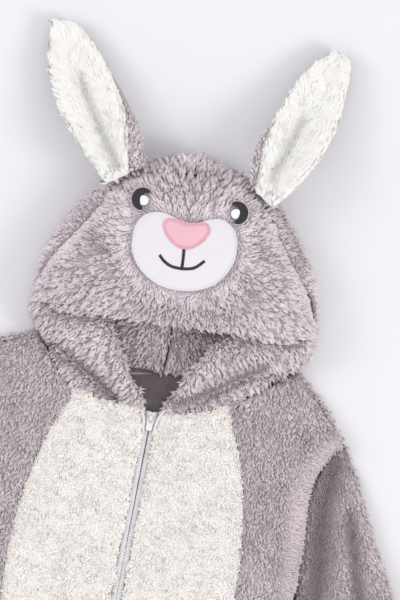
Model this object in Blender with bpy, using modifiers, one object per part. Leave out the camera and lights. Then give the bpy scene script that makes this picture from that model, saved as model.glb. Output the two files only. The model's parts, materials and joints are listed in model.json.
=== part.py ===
"""Hooded one-piece pajama with a rabbit face, zipped up and laid flat on its back.
Lengths in the tables are millimetres: +X is the wearer's left, +Y is toward the head, z is the height above
the surface it lies on.  The tables' y starts at the top of the zip."""
import math

import bpy
from mathutils import Vector
from mathutils.bvhtree import BVHTree

# ---- driving sizes, mm ----
GAP = 0.3            # between two sewn edges
BACK_WALL = 6.4      # pile included
HOOD_WALL = 7.0
HOOD_BACK_WALL = 8.0
SLEEVE_SLOT = 3.0    # space left inside a flattened sleeve
FRONT_WALL = 7.6
FRONT_CLEAR = 10.2   # highest underside of a side front: its body lies closed on the back
PATCH_WALL = 1.2
FRONT_LIES_AT = 7.2  # underside of the front panels on the back
BELLY_TOP = 16.0
BELLY_HALF = 107.0   # widest half width of the white oval
BELLY_MID_Y = -152.0
BELLY_HALF_LONG = 211.0
ZIP_EDGE = 6.8       # from the centre to the folded edge of a belly panel
ZIP_END_Y = -342.0
CROTCH_Y = -410.0
SHOULDER = (180.0, 0.0)
ARMPIT = (171.0, -190.0)
ARMHOLE_BOW = 19.0   # how far the armhole is cut in, times the shares below
HEAD_TURN = math.radians(2.6)
HEAD_PIVOT = (0.0, 150.0)
LEFT_SHOULDER_LIFT = 0.26
REST_Y = 157.0       # moves the footprint's centre to the origin
MM = 0.001


def clamp(t, lo=0.0, hi=1.0):
    return max(lo, min(hi, t))


def ease(t):
    t = clamp(t)
    return t * t * (3 - 2 * t)


def lerp(a, b, t):
    return a + (b - a) * t


def mix(a, b, t):
    return tuple(lerp(p, q, t) for p, q in zip(a, b))


def dome(t):
    """Quarter circle: 0 at an edge, 1 from t = 1 on."""
    return math.sqrt(max(0.0, 1 - (1 - clamp(t)) ** 2))


def along(rows, u):
    """Smooth curve through equally spaced rows of numbers, u counted in rows."""
    n = len(rows) - 1
    u = clamp(u, 0, n)
    i = min(int(u), n - 1)
    t = u - i
    p1, p2 = rows[i], rows[i + 1]
    p0 = rows[i - 1] if i else tuple(2 * a - b for a, b in zip(p1, p2))
    p3 = rows[i + 2] if i + 2 <= n else tuple(2 * b - a for a, b in zip(p1, p2))
    out = []
    for a, b, c, d in zip(p0, p1, p2, p3):
        m1, m2 = (c - a) / 2, (d - b) / 2
        out.append(b + (m1 + (3 * (c - b) - 2 * m1 - m2 + (m1 + m2 - 2 * (c - b)) * t) * t) * t)
    return tuple(out)


def laid(x, y, z):
    """How the garment lies: the head is turned a little, one shoulder lies higher."""
    w = HEAD_TURN * ease((y + 5) / 80)
    dx, dy = x - HEAD_PIVOT[0], y - HEAD_PIVOT[1]
    x = HEAD_PIVOT[0] + dx * math.cos(w) - dy * math.sin(w)
    y = HEAD_PIVOT[1] + dx * math.sin(w) + dy * math.cos(w)
    up = clamp((-x - 112) / 60) if x < -112 else 0.0
    y += LEFT_SHOULDER_LIFT * 60 * ease(up) * ease((y + 420) / 260) * (1 - ease((y - 55) / 30))
    return x, y, z


def place(x, y, z):
    x, y, z = laid(x, y, z)
    return Vector((x * MM, (y + REST_Y) * MM, z * MM))


# ---- scene start ----
for ob in list(bpy.data.objects):
    bpy.data.objects.remove(ob)
kit = bpy.data.collections.new("onesie_pajama")
bpy.context.scene.collection.children.link(kit)


def finish_mesh(name, verts, faces, colour, rough=0.9, metal=0.0, closed=True):
    """One piece with its own material. A closed one gets its faces turned outward."""
    fans = [(f[0], f[i], f[i + 1]) for f in faces for i in range(1, len(f) - 1)]
    inside_out = closed and sum(verts[a].dot(verts[b].cross(verts[c])) for a, b, c in fans) < 0
    if inside_out:
        faces = [tuple(reversed(f)) for f in faces]
    mesh = bpy.data.meshes.new(name)
    mesh.from_pydata(verts, [], faces)
    mesh.validate()
    ob = bpy.data.objects.new(name, mesh)
    kit.objects.link(ob)
    mat = bpy.data.materials.new(name)
    mat.use_nodes = True
    sock = mat.node_tree.nodes["Principled BSDF"].inputs
    sock["Base Color"].default_value = (*colour, 1)
    sock["Roughness"].default_value = rough
    sock["Metallic"].default_value = metal
    mesh.materials.append(mat)
    return ob


def quads(rows, cols, start=0, flip=False, ring=False):
    out = []
    for i in range(rows - 1):
        for j in range(cols if ring else cols - 1):
            k = (j + 1) % cols
            a, b = start + i * cols + j, start + i * cols + k
            c, d = start + (i + 1) * cols + k, start + (i + 1) * cols + j
            out.append((d, c, b, a) if flip else (a, b, c, d))
    return out


def cloth(name, grid, wall, colour, outward, steer):
    """A lofted outer surface thickened inward. outward is +1 or -1 for the grid's own normal, and
    steer(row, column, normal) gives the wall's direction on the edges that another piece is sewn to."""
    n, m = len(grid), len(grid[0])
    skin = [[Vector(p) for p in row] for row in grid]
    inner = []
    for i in range(n):
        line = []
        for j in range(m):
            du = skin[min(i + 1, n - 1)][j] - skin[max(i - 1, 0)][j]
            dv = skin[i][min(j + 1, m - 1)] - skin[i][max(j - 1, 0)]
            normal = du.cross(dv).normalized() * outward
            line.append(skin[i][j] - steer(i, j, normal).normalized() * wall)
        inner.append(line)
    return slab(name, skin, inner, colour)


def slab(name, top, low, colour, raw=False):
    """A laid panel: a top surface and an underside over the same plan, rows across columns."""
    n, m = len(top), len(top[0])
    put = (lambda x, y, z: Vector((x * MM, (y + REST_Y) * MM, z * MM))) if raw else place
    verts = [put(*p) for row in top for p in row] + [put(*p) for row in low for p in row]
    k = n * m
    a, b = top[0][0], top[0][-1]
    c = top[-1][0]
    up = (b[0] - a[0]) * (c[1] - a[1]) - (b[1] - a[1]) * (c[0] - a[0]) > 0
    faces = quads(n, m, 0, not up) + quads(n, m, k, up)
    edge = [j for j in range(m)] + [i * m + m - 1 for i in range(1, n)]
    edge += [(n - 1) * m + j for j in range(m - 2, -1, -1)] + [i * m for i in range(n - 2, 0, -1)]
    for p, q in zip(edge, edge[1:] + edge[:1]):
        faces.append((q, p, p + k, q + k) if up else (p, q, q + k, p + k))
    return finish_mesh(name, verts, faces, colour)


def tube(name, rings, cores, colour):
    """A flattened tube: rings of its outer skin, rings of its inner skin, open at both ends."""
    n, m = len(rings), len(rings[0])
    verts = [place(*p) for r in rings + cores for p in r]
    k = n * m
    faces = quads(n, m, 0, ring=True) + quads(n, m, k, flip=True, ring=True)
    for j in range(m):
        q, e = (j + 1) % m, (n - 1) * m
        faces += [(j, k + j, k + q, q), (e + q, e + k + q, e + k + j, e + j)]
    return finish_mesh(name, verts, faces, colour)


GREY = (0.50, 0.46, 0.49)
WHITE = (0.86, 0.85, 0.82)

# ---- lines that pieces share ----
# neckline, from the zip out to the side of the neck: x, y on the wearer's left, then on the right
NECK = {1: [(ZIP_EDGE, -1.5), (17, -2), (30, -1.5), (43, 3), (56, 9), (70, 17), (86, 28), (102, 41),
            (118, 54)],
        -1: [(ZIP_EDGE, 0), (17, -0.5), (31, -2), (46, -2.5), (61, 0.5), (77, 5.5), (92, 17), (105, 34),
             (118, 54)]}
CORNER = 5           # row of the neckline where the white oval starts
SEAM_Y = [-12, -35, -65, -100, -145, -190, -240, -285, -325, -352]


def oval(y):
    return BELLY_HALF * math.sqrt(max(0.0, 1 - ((y - BELLY_MID_Y) / BELLY_HALF_LONG) ** 2))


# the armhole from the shoulder (0) to the armpit (1): how deep it is cut in at each of these places
CUT_AT = [0.0, 0.05, 0.1, 0.2, 0.32, 0.44, 0.5, 0.55, 0.67, 0.78, 0.9, 1.0]
CUT_IN = [0.0, 0.42, 0.72, 1.14, 1.3, 1.13, 1.06, 1.0, 0.93, 0.74, 0.36, 0.0]


def cut_in(f):
    k = max(n for n in range(len(CUT_AT) - 1) if CUT_AT[n] <= f or n == 0)
    return lerp(CUT_IN[k], CUT_IN[k + 1], (f - CUT_AT[k]) / (CUT_AT[k + 1] - CUT_AT[k]))


def armhole(f, out=0.0):
    x = lerp(SHOULDER[0], ARMPIT[0], f) - ARMHOLE_BOW * cut_in(f)
    return x + out, lerp(SHOULDER[1], ARMPIT[1], f)


# ---- back: one flat piece ----
BACK_ROWS = [(0, 32, 117.6, 53.2), (0, 22, 139, 41.5), (0, 8, 162, 19.5), (0, -8, 179.3, -0.6)]
for n_arm, f_arm in enumerate(CUT_AT[1:]):
    BACK_ROWS.append((0, -22 - 17.2 * n_arm, *armhole(f_arm, -GAP)))
BACK_ROWS += [(0, -235, 173, -235), (0, -280, 175, -280), (0, -325, 176, -325), (0, -368, 177, -368),
              (0, CROTCH_Y, 177, CROTCH_Y)]
CROTCH_ROW = len(BACK_ROWS) - 1
BACK_ROWS += [(10, -470, 171, -472), (22, -535, 164, -537), (34, -600, 157, -602), (45, -665, 150, -661)]
COLS = 6


def neck_dip(q):
    return -5 * math.sin(math.pi * q)


rows = []
for n_row, (ix, iy, ox, oy) in enumerate(BACK_ROWS):
    line = []
    for c in range(-COLS, COLS + 1):
        q = abs(c) / COLS
        x, y = lerp(ix, ox, q), lerp(iy, oy, q) + (neck_dip(q) if n_row == 0 else 0)
        line.append((x, y, 1 if c >= 0 else -1))
    rows.append(line)
verts, faces, spot = [], [], {}
for level in (0.0, BACK_WALL):
    for r, line in enumerate(rows):
        for c, (x, y, s) in enumerate(line):
            both = r > CROTCH_ROW and c == COLS
            for side in ((1, -1) if both else (s,)):
                spot[level, r, c, side] = len(verts)
                verts.append(place(x * side, y, level))


def at(level, r, c, side):
    key = (level, r, c, side)
    return spot[key] if key in spot else spot[level, r, c, 1 if c >= COLS else -1]


for r in range(len(rows) - 1):
    for c in range(2 * COLS):
        side = 1 if c >= COLS else -1
        ring = [(r, c), (r, c + 1), (r + 1, c + 1), (r + 1, c)]
        faces.append([at(BACK_WALL, *rc, side) for rc in reversed(ring)])
        faces.append([at(0.0, *rc, side) for rc in ring])
count = {}
for f in faces:
    for a, b in zip(f, f[1:] + f[:1]):
        count[a, b] = count.get((a, b), 0) + 1
half = len(verts) // 2
for a, b in [e for e in count if (e[1], e[0]) not in count and e[0] < half and e[1] < half]:
    faces.append([b, a, a + half, b + half])
finish_mesh("back", verts, faces, (0.42, 0.38, 0.40))

# ---- belly panels, either side of the zip ----
STEP = 2             # sub-rows between table rows


def neck_at(side, u):
    x, y = along(NECK[side], u)
    return x, y


for side, name in ((1, "belly_left"), (-1, "belly_right")):
    corner_y = NECK[side][CORNER][1]
    ys = [corner_y] + SEAM_Y
    top, low = [], []
    for k in range((len(ys) - 1) * STEP + 1):
        y0 = lerp(ys[k // STEP], ys[min(k // STEP + 1, len(ys) - 1)], (k % STEP) / STEP)
        edge = oval(y0) - GAP
        if k == 0:
            edge = NECK[side][CORNER][0]
        inner = lerp(ZIP_EDGE, 0.3, ease((ZIP_END_Y + 6 - y0) / 8))
        fade = clamp(1 - (corner_y - y0) / 60)
        line, under = [], []
        for n_q in range(CORNER * 2 + 1):
            u = n_q / 2
            nx, ny = neck_at(side, u)
            q = (nx - ZIP_EDGE) / (NECK[side][CORNER][0] - ZIP_EDGE)
            x = lerp(inner, edge, q)
            y = y0 + (ny - corner_y) * fade - (0.7 if k == 0 else 0)
            z = BELLY_TOP + 1.6 * math.sin(math.pi * q) - 1.2 * ease((q - 0.9) / 0.1)
            z -= 1.0 * (1 - ease(k / 3))
            if n_q == 0:
                z -= 3.4
            line.append((side * x, y, z))
            under.append((side * x, y, 9.0))
        fold = mix(line[0], line[1], 0.16)
        line.insert(1, (fold[0], fold[1], BELLY_TOP - 0.6))
        under.insert(1, (fold[0], fold[1], 9.0))
        top.append(line)
        low.append(under)
    slab(name, top, low, WHITE)

# ---- side fronts: from the neck to the leg's hem ----
# row: which line its inner end is on, the place there, its outer point, height of the ridge beside that
SIDE_ROWS = []
RIDGE = 28           # crest of the fold beside the armhole
OUT = [(179.4, -0.4)] + [armhole(f, -GAP) for f in (0.05, 0.1, 0.2, 0.32, 0.44, 0.5)]
for n_row, u in enumerate((8, 7.5, 7, 6.5, 6, 5.5, 5)):
    SIDE_ROWS.append(("neck", u, OUT[n_row], RIDGE))
for y, f in zip(SEAM_Y[:4], (0.55, 0.67, 0.78, 0.9)):
    SIDE_ROWS.append(("oval", y, armhole(f, -GAP), RIDGE))
SIDE_ROWS += [("oval", -145, armhole(1.0, -GAP), 26), ("oval", -190, (173, -235), 22),
              ("oval", -240, (175, -280), 20), ("oval", -285, (176, -325), 19),
              ("oval", -325, (176.6, -357), 19), ("oval", -352, (177, -385), 19),
              (0.2, -362, (177, CROTCH_Y), 19), (0.3, CROTCH_Y, (174.5, -440), 19),
              (10, -470, (171, -472), 19), (22, -535, (164, -537), 19), (34, -600, (157, -602), 19),
              (45, -665, (150, -661), 18)]
SIDE_V = [0, 0.08, 0.25, 0.5, 0.7, 0.83, 0.91, 0.96, 0.99, 1.0]


def side_inner(side, row):
    kind, key = row[0], row[1]
    if kind == "neck":
        x, y = neck_at(side, key)
        return x, y - 0.6
    if kind == "oval":
        return oval(key) + GAP / 2, key
    return kind, key


def side_height(d_out, d_shoulder, d_leg, ridge, v):
    z = lerp(BELLY_TOP - 0.2, 18.0, ease(v / 0.12))
    z = lerp(z, ridge, ease((v - 0.58) / 0.32))
    floor = FRONT_LIES_AT + 2.5
    z = floor + (z - floor) * dome(d_out / 13) * dome((d_shoulder + 0.6) / 12) * dome(d_leg / 11)
    return z


for side, name in ((1, "side_front_left"), (-1, "side_front_right")):
    top, low = [], []
    full = []
    for n_row in range(len(SIDE_ROWS)):
        row = SIDE_ROWS[n_row]
        full.append((side_inner(side, row), row[2], row[3]))
        if 6 <= n_row < 16:
            nxt = SIDE_ROWS[n_row + 1]
            a, b = side_inner(side, row), side_inner(side, nxt)
            ym = (a[1] + b[1]) / 2
            if row[0] == "neck" or (row[0] == "oval" and nxt[0] == "oval"):
                half_way = (oval(ym) + GAP / 2, ym)
            else:
                half_way = mix(a, b, 0.5)
            full.append((half_way, mix(row[2], nxt[2], 0.5), (row[3] + nxt[3]) / 2))
    for n_row, (inner, outer, ridge) in enumerate(full):
        line, under = [], []
        for v in SIDE_V:
            x, y = mix(inner, outer, v)
            run = math.hypot(outer[0] - inner[0], outer[1] - inner[1])
            d_out = (1 - v) * run
            d_sh = ((SHOULDER[0] - 118) * (54 - y) - (54 - SHOULDER[1]) * (x - 118)) / math.hypot(62, 54)
            d_sh = max(0.0, d_sh)
            on_arm = y > ARMPIT[1] + 25 and y < -22
            d_leg = v * run if inner[1] < CROTCH_Y + 1 else 99
            z = side_height(d_out, d_sh, d_leg, ridge, v)
            z_low = max(FRONT_LIES_AT, min(z - FRONT_WALL, FRONT_CLEAR))
            if on_arm:
                reach = min(-22 - y, y - ARMPIT[1] - 25)
                swell = 4.2 * ease((reach - 12) / 18) * ease(1 - d_out / 16) ** 0.7
                x += swell
                z = max(z, lerp(z, 24.5 - 3 * (1 - dome(d_out / 6)), ease(reach / 9) if d_out < 8 else 0))
                z_low = max(z_low, lerp(FRONT_LIES_AT, 14.2, ease(reach / 7) * ease((swell - d_out + 6) / 5)))
            line.append((side * x, y, z))
            under.append((side * x, y, min(z_low, z - 2.4)))
        top.append(line)
        low.append(under)
    slab(name, top, low, GREY)

# ---- sleeves: flattened tubes set in at the armhole ----
# row: outer x y, inner x y, bow, thickness of the flattened tube
SLEEVE_ROWS = [(181.0, 0.2, 172, -190, -19, 8.8), (190, -16, 175, -192, -14, 11),
               (203, -39, 180, -198, -9, 15.8), (220, -72, 188, -208, -5, 18.4),
               (238, -104, 198, -220, -2, 18.6), (258, -141, 210, -236, 0, 18),
               (284, -188, 224, -258, 0, 17.4), (313, -241, 239, -282, 0, 17)]
SLEEVE_STEP = 3
SLEEVE_FOLD = 3.6    # depth of the soft fold that runs beside the armhole, farther out


def sleeve_fold(x, y):
    """Depth of the fold at a flat point."""
    middle = 206.3 - 0.22 * (y + 87)
    return SLEEVE_FOLD * math.exp(-((x - middle) / 8) ** 2) * ease((-62 - y) / 28) * ease((y + 190) / 30)


for side, name in ((1, "sleeve_left"), (-1, "sleeve_right")):
    rings, cores = [], []
    for k in range((len(SLEEVE_ROWS) - 1) * SLEEVE_STEP + 1):
        ox, oy, ix, iy, bow, thick = along(SLEEVE_ROWS, k / SLEEVE_STEP)
        wide = math.hypot(ix - ox, iy - oy)
        ring, core = [], []
        for share, face in [(f, 1) for f in CUT_AT] + [(f, -1) for f in CUT_AT[-2:0:-1]]:
            c = math.copysign(abs(1 - 2 * share) ** 1.25, 0.5 - share)
            rise = face * math.sqrt(1 - c * c) ** 0.55
            for out, wall in ((ring, 0.0), (core, (thick - SLEEVE_SLOT) / 2)):
                f = 0.5 - (0.5 - wall / wide) * (1 - 2 * share)
                x, y = lerp(ox, ix, f) + bow * cut_in(f), lerp(oy, iy, f)
                fold = sleeve_fold(x, y) if rise > 0.01 else 0.0
                if wall:
                    fold = min(fold, SLEEVE_SLOT - 1.2)
                out.append((side * x, y, thick / 2 + (thick / 2 - wall) * rise - fold))
        rings.append(ring)
        cores.append(core)
    tube(name, rings, cores, GREY)

# ---- hood front: one band from the zip round the face opening and back ----
# row: outer seam, foot under the lip, bulge, crest, inner roll, tucked edge (x y z each)
LIP_LEFT = [
    (7.2, -1.5, 15, 7.4, 0.5, 16, 8.4, 2, 18.5, 9, 5, 21.5, 9.2, 9, 20, 9, 11, 15.5),
    (17, -2, 15.2, 18, 0, 15.8, 20, 2.5, 20, 17, 10, 28, 13.8, 16, 25.5, 13.2, 17.5, 18),
    (30, -1.5, 15.4, 33, 7, 15.6, 35, 9, 22, 27, 23, 33, 20.5, 32, 29.5, 19.6, 33.5, 20),
    (43, 3, 15.6, 48, 20, 15.8, 50, 22, 24, 41, 38, 37, 30, 48.5, 33, 29, 50.5, 21),
    (56, 9, 15.6, 62, 32, 16.2, 64, 34, 25, 54, 52, 38, 40, 64, 34, 39, 66, 22),
    (70, 17, 15.6, 77, 41, 17, 79, 42, 26, 68, 60, 37, 53, 78, 31.5, 52, 80, 21),
    (86, 28, 15.6, 92, 47, 17.5, 94, 48, 26, 84, 66, 34, 70, 86, 28, 70, 88, 19),
    (102, 41, 15.6, 108, 53, 18, 110, 54, 26, 100, 71, 32.5, 89, 87, 26.5, 89, 89, 18),
    (118, 54, 15, 121, 59, 18.5, 122, 62, 25, 116, 75, 32, 106, 87, 27, 105, 89, 19)]
LIP_RIGHT = [
    (7.2, 0, 15, 7.4, 1.6, 16, 8.4, 3, 18.5, 9.4, 6, 21.5, 9.8, 10, 20, 9.6, 12, 15.5),
    (17, -0.5, 15.2, 18.4, 0.6, 16, 21, 2.2, 21, 20.5, 8.5, 29, 17, 14.5, 26, 16.4, 16, 18),
    (31, -2, 15.4, 33, 0.6, 15.8, 37, 3.6, 24, 34, 18.5, 34.5, 27.5, 27.5, 30.5, 26.6, 29, 20),
    (46, -2.5, 15.6, 51, 9.5, 16, 54, 11.5, 25.5, 48.5, 32, 38, 37.5, 42, 33.5, 36.6, 44, 21),
    (61, 0.5, 15.6, 67, 19.5, 16.2, 70, 21.5, 26, 62, 46, 39.5, 47, 58, 35, 46, 60, 22),
    (77, 5.5, 15.6, 83, 29, 16.8, 86, 31, 26, 75, 57, 37.5, 60, 76, 31.5, 59.4, 78, 21),
    (92, 17, 15.6, 98, 39, 17.4, 101, 41, 26, 90, 65, 34, 75, 85, 28, 75, 87, 19),
    (105, 34, 15.6, 111, 49, 18, 114, 51, 26, 105, 70, 32.5, 93, 87, 26.5, 93, 89, 18),
    (118, 54, 15, 122, 60, 18.5, 124, 63, 25, 118, 76, 32, 108, 87, 27, 107, 89, 19)]
FOREHEAD = [
    (126, 63, 12, 129.5, 65.5, 19, 129, 69, 27, 122.5, 79, 34, 114.5, 87.5, 30, 112.5, 89, 23),
    (129, 74, 11.5, 132.5, 75.5, 19, 131.5, 79, 29, 125, 84, 37, 117.5, 84, 35.5, 115, 88, 28),
    (129.5, 86, 12.5, 132, 87, 21, 130, 88, 31, 123, 88, 41, 115, 79, 38.5, 113, 85.5, 31),
    (128, 103, 20, 128, 101.5, 27, 124, 98, 36, 115, 89, 45, 105, 75.5, 39.5, 104, 83.5, 32),
    (119.5, 123, 33, 117.5, 118.5, 38, 112, 110, 45, 104.5, 95, 48.5, 95, 74.5, 40.5, 94, 83, 33),
    (110, 136, 36, 107, 131.5, 41.5, 101, 118, 49, 93, 99, 51, 82.5, 74.5, 41.5, 82, 83, 34),
    (98.5, 151.5, 38, 95.5, 146.5, 43.5, 87.5, 129, 52, 79, 104, 54, 69, 75.5, 43, 68.5, 83.5, 35),
    (86.5, 167, 39.5, 83, 162, 45, 74, 141, 55, 65, 109, 57, 56, 76.5, 44.5, 55.5, 84.5, 36),
    (77, 183, 40, 74, 177.5, 46, 64, 152, 57, 53, 113, 59.5, 43.5, 77, 45.5, 43, 85, 37),
    (66, 200.5, 40.5, 62.5, 194.5, 47, 50, 164, 58.5, 38.5, 117, 60.5, 29.5, 77, 46.3, 29, 85, 37.5),
    (38, 212.5, 41, 36, 205.5, 47.5, 28, 170, 60, 20.5, 119.5, 62, 15, 77, 46.8, 14.8, 85, 38),
    (0, 216.5, 41, 0, 209.5, 47.5, 0, 172, 60.5, 0, 120, 62.5, 0, 77, 47, 0, 85, 38)]


def flipped(row):
    return tuple(-v if n % 3 == 0 else v for n, v in enumerate(row))


BAND = LIP_LEFT + FOREHEAD + [flipped(r) for r in reversed(FOREHEAD[:-1])]
BAND += [flipped(r) for r in reversed(LIP_RIGHT)]
BAND_V = [0, 0.5, 1, 1.5, 2, 2.5, 3, 3.5, 4, 5]
MUZZLE = [(-46.5, 141), (-47.5, 152), (-46.5, 163), (-42, 171.5), (-35, 176.5), (-26, 178.5), (-17, 177),
          (-8, 174), (1, 172.5), (10, 174), (19, 178), (28, 180), (36, 178), (43, 172), (47, 163), (48, 152),
          (46.5, 141), (41, 130), (33, 121), (23, 115), (12, 111.5), (0, 110.5), (-12, 111.5), (-23, 115),
          (-33, 121.5), (-41, 130)]


def in_muzzle(x, y):
    """1 well inside the patch, 0 outside."""
    ang = math.atan2(y - 146, x)
    best = min(MUZZLE, key=lambda p: abs(math.remainder(math.atan2(p[1] - 146, p[0]) - ang, 2 * math.pi)))
    return ease((math.hypot(best[0], best[1] - 146) - math.hypot(x, y - 146)) / 10 + 0.4)


def band_section(u):
    row = along(BAND, u)
    pts = [row[i:i + 3] for i in range(0, 18, 3)]
    out = []
    for v in BAND_V:
        x, y, z = along(pts, v)
        if 105 < y < 185 and abs(x) < 55:
            z -= 2.2 * in_muzzle(x, y)
        out.append((x, y, z))
    return out


BAND_STEP = 2
BAND_N = (len(BAND) - 1) * BAND_STEP
SIDE_NECK = len(LIP_LEFT) - 1


def seam_depth(u):
    """At a point of the hood front's outer seam: the way out in plan, the wall's direction and its turn."""
    a, b = along(BAND, u - 0.3), along(BAND, u + 0.3)
    out = Vector((b[1] - a[1], a[0] - b[0], 0)).normalized()
    k = min(u, len(BAND) - 1 - u)
    upright = 1 - ease((k - 5) / 3) if k < SIDE_NECK else ease((k - SIDE_NECK - 3.2) / 2.3)
    turn = math.radians(82 * upright)
    return out, out * math.cos(turn) + Vector((0, 0, math.sin(turn))), turn


def steer_front(i, j, normal):
    return seam_depth(i / BAND_STEP)[1] if j == 0 else normal


grid = [band_section(k / BAND_STEP) for k in range(BAND_N + 1)]
hood_front = cloth("hood_front", grid, HOOD_WALL, GREY, 1, steer_front)

# ---- hood backs: from the centre-back seam on the floor, round the contour, up to the crease seam ----
# a row for each of the band's, from the side of the neck to the top: contour, arrival at the crease, foot,
# centre y
HOOD_BACK = [
    (119, 54.4, 9, 118.4, 54.2, 12, 112, 52.6, 32.6), (127.5, 63.4, 5.5, 127.4, 63.3, 9, 117, 61.5, 46),
    (130.5, 74.2, 5, 130.4, 74.2, 8.5, 119, 73, 60), (131, 86.4, 5.5, 131, 86.3, 9.5, 119, 84.5, 75),
    (130, 103.4, 11, 130, 103.5, 17.5, 118, 98, 92), (127, 125.5, 18, 124, 125.2, 32, 112, 118, 110),
    (121.5, 144, 19, 114.4, 138.4, 35.2, 106, 132, 126), (111.5, 162, 20, 102.5, 154.7, 37.2, 97, 147, 142),
    (98.5, 179.5, 20, 90.3, 170.5, 38.7, 85, 163, 158), (87.5, 193.5, 20, 80.5, 186, 39.2, 74, 178, 172),
    (72, 208.5, 20, 68.2, 204, 39.7, 60, 192, 186), (40, 224.5, 20, 39.3, 217, 40.2, 35, 204, 197),
    (0, 236, 20, 0, 221.5, 40.2, 0, 214, 203)]
BACK_V = [0, 0.33, 0.67, 1.0]
ROLL_V = [0.35, 0.7, 1.0, 1.35, 1.7, 2.0, 3.0]
for side, name in ((1, "hood_back_left"), (-1, "hood_back_right")):
    grid = []
    for k in range((len(HOOD_BACK) - 1) * BAND_STEP + 1):
        u = k / BAND_STEP
        kx, ky, kz, tx, ty, tz, fx, fy, my = along(HOOD_BACK, u)
        out, deep, turn = seam_depth(SIDE_NECK + u)
        seam = Vector(along(BAND, SIDE_NECK + u)[:3])
        hold = 2.8 * GAP + 1.3 * (1 - ease(abs(u - 0.5) / 1.3)) + 1.2 * (1 - ease(abs(u - 4.3) / 1.4))
        seam += out * hold * math.sin(turn) - Vector((0, 0, hold * math.cos(turn)))
        line = []
        for q in BACK_V:
            x, y = lerp(0.25, fx, q), lerp(my, fy, q) + 0.4 + neck_dip(q * fx / 118) * clamp(1 - u)
            line.append((side * x, y, 0.0))
        pts = [(fx, fy, 0.0), (kx, ky, kz), (tx, ty, tz), tuple(seam)]
        for v in ROLL_V:
            x, y, z = along(pts, v)
            line.append((side * max(x, 0.25), y, max(z, 0.0)))
        grid.append(line)

    def steer_back(i, j, normal):
        out, deep, turn = seam_depth(SIDE_NECK + i / BAND_STEP)
        deep = Vector((side * deep.x, deep.y, deep.z))
        if j == len(BACK_V) + len(ROLL_V) - 1:
            return deep
        if j == len(BACK_V) + len(ROLL_V) - 2:
            return normal.lerp(deep, 0.7 * math.sin(turn))
        if j < len(BACK_V) - 1:
            return Vector((0, 0, -1))
        if i == (len(HOOD_BACK) - 1) * BAND_STEP:
            return Vector((0, normal.y, normal.z))
        if i == 0:
            return Vector((normal.x, 0.2 * normal.y, normal.z))
        return normal

    cloth(name, grid, HOOD_BACK_WALL, GREY, side, steer_back)

# ---- ears: a grey outer cup with a white inner one, sewn in at the crease ----
bpy.context.view_layer.update()
deps = bpy.context.evaluated_depsgraph_get()
UNDER_EAR = [BVHTree.FromObject(bpy.data.objects[n], deps)
             for n in ("hood_back_left", "hood_back_right", "hood_front")]


def top_of(trees, x, y):
    """Height in mm of the highest surface below a plan point of the laid garment, 0 where there is none."""
    best = 0.0
    for tree in trees:
        hit = tree.ray_cast(Vector((x * MM, (y + REST_Y) * MM, 1.0)), Vector((0, 0, -1)))
        if hit[0] is not None:
            best = max(best, hit[0].z / MM)
    return best


# row from the base to the tip: away edge, head edge of the grey piece, white edge on that side, underside,
# cup depth
EAR_RIGHT = [(-80.7, 193.3, -47.5, 216, -61.5, 206.5, 40, 3), (-90, 202, -49.5, 222, -62.5, 212.5, 38, 7),
             (-99, 211, -53, 230, -64.8, 222, 33, 9), (-112, 223, -58, 242, -67.5, 236, 26, 10),
             (-125, 238, -66, 259, -73, 255, 19, 9), (-139, 257, -77, 275, -81.5, 272.5, 13, 8),
             (-148.5, 277, -89, 289, -91, 288, 9, 6.5), (-154.5, 297, -104, 306, -104.6, 305.6, 6, 5),
             (-157.8, 313, -117, 319.5, -117.4, 319.3, 4, 4),
             (-158.6, 324, -127.5, 328.5, -127.8, 328.3, 3, 3),
             (-155, 331.5, -138, 333.8, -138.3, 333.7, 2.5, 2)]
EAR_LEFT = [(72, 200.6, 50.5, 215.5, 53.8, 212.5, 40, 3), (81, 209.5, 46.5, 221.5, 54, 219.5, 38, 7),
            (90, 221, 45, 234, 53.6, 231, 34, 9), (101, 239, 46.8, 250, 53.3, 248.5, 27, 11),
            (110, 257, 50.5, 267, 54.6, 266, 20, 10), (116, 281, 57.5, 284, 59, 283.7, 14, 8),
            (119, 302, 65.5, 303, 66.2, 303, 10, 6.5), (120, 320, 74, 323, 74.4, 322.8, 7, 5),
            (119.8, 334, 83, 335.5, 83.4, 335.4, 5, 4), (118.5, 343, 92.5, 345.5, 92.8, 345.4, 4, 3),
            (114, 349, 101, 351.3, 101.4, 351.2, 3.5, 2)]
EAR_Q = [0, 0.05, 0.18, 0.33, 0.44, 0.5, 0.56, 0.67, 0.82, 0.95, 1.0]
for name, table in (("ear_right", EAR_RIGHT), ("ear_left", EAR_LEFT)):
    outer_top, outer_low, inner_top, inner_low = [], [], [], []
    for ax, ay, hx, hy, wx, wy, under, cup in table:
        lines = ([], [], [], [])
        white = math.hypot(wx - ax, wy - ay) / math.hypot(hx - ax, hy - ay) - 0.02
        for n_q, q in enumerate([0] + EAR_Q + [1]):
            f = lerp(0.02, white, q) if 0 < n_q <= len(EAR_Q) else q
            x, y = mix((ax, ay), (hx, hy), f)
            lift = max(under, top_of(UNDER_EAR, x, y) + 0.6)
            bend = cup * (1 - math.exp(-((f / white - 0.5) / 0.2) ** 2))
            low_z = lift + bend * 0.8
            lines[1].append((x, y, low_z + 1.6 * (1 - dome(min(f, 1 - f) / 0.12 + 0.12))))
            lines[0].append((x, y, low_z + 5.3))
            if 0 < n_q <= len(EAR_Q):
                lines[3].append((x, y, low_z + 6.0))
                lines[2].append((x, y, low_z + 7.8 + 4.0 * dome(min(q, 1 - q) / 0.12 + 0.1)))
        outer_top.append(lines[0])
        outer_low.append(lines[1])
        inner_top.append(lines[2])
        inner_low.append(lines[3])
    slab(name + "_outer", outer_top, outer_low, GREY, raw=True)
    slab(name + "_inner", inner_top, inner_low, WHITE, raw=True)

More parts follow.
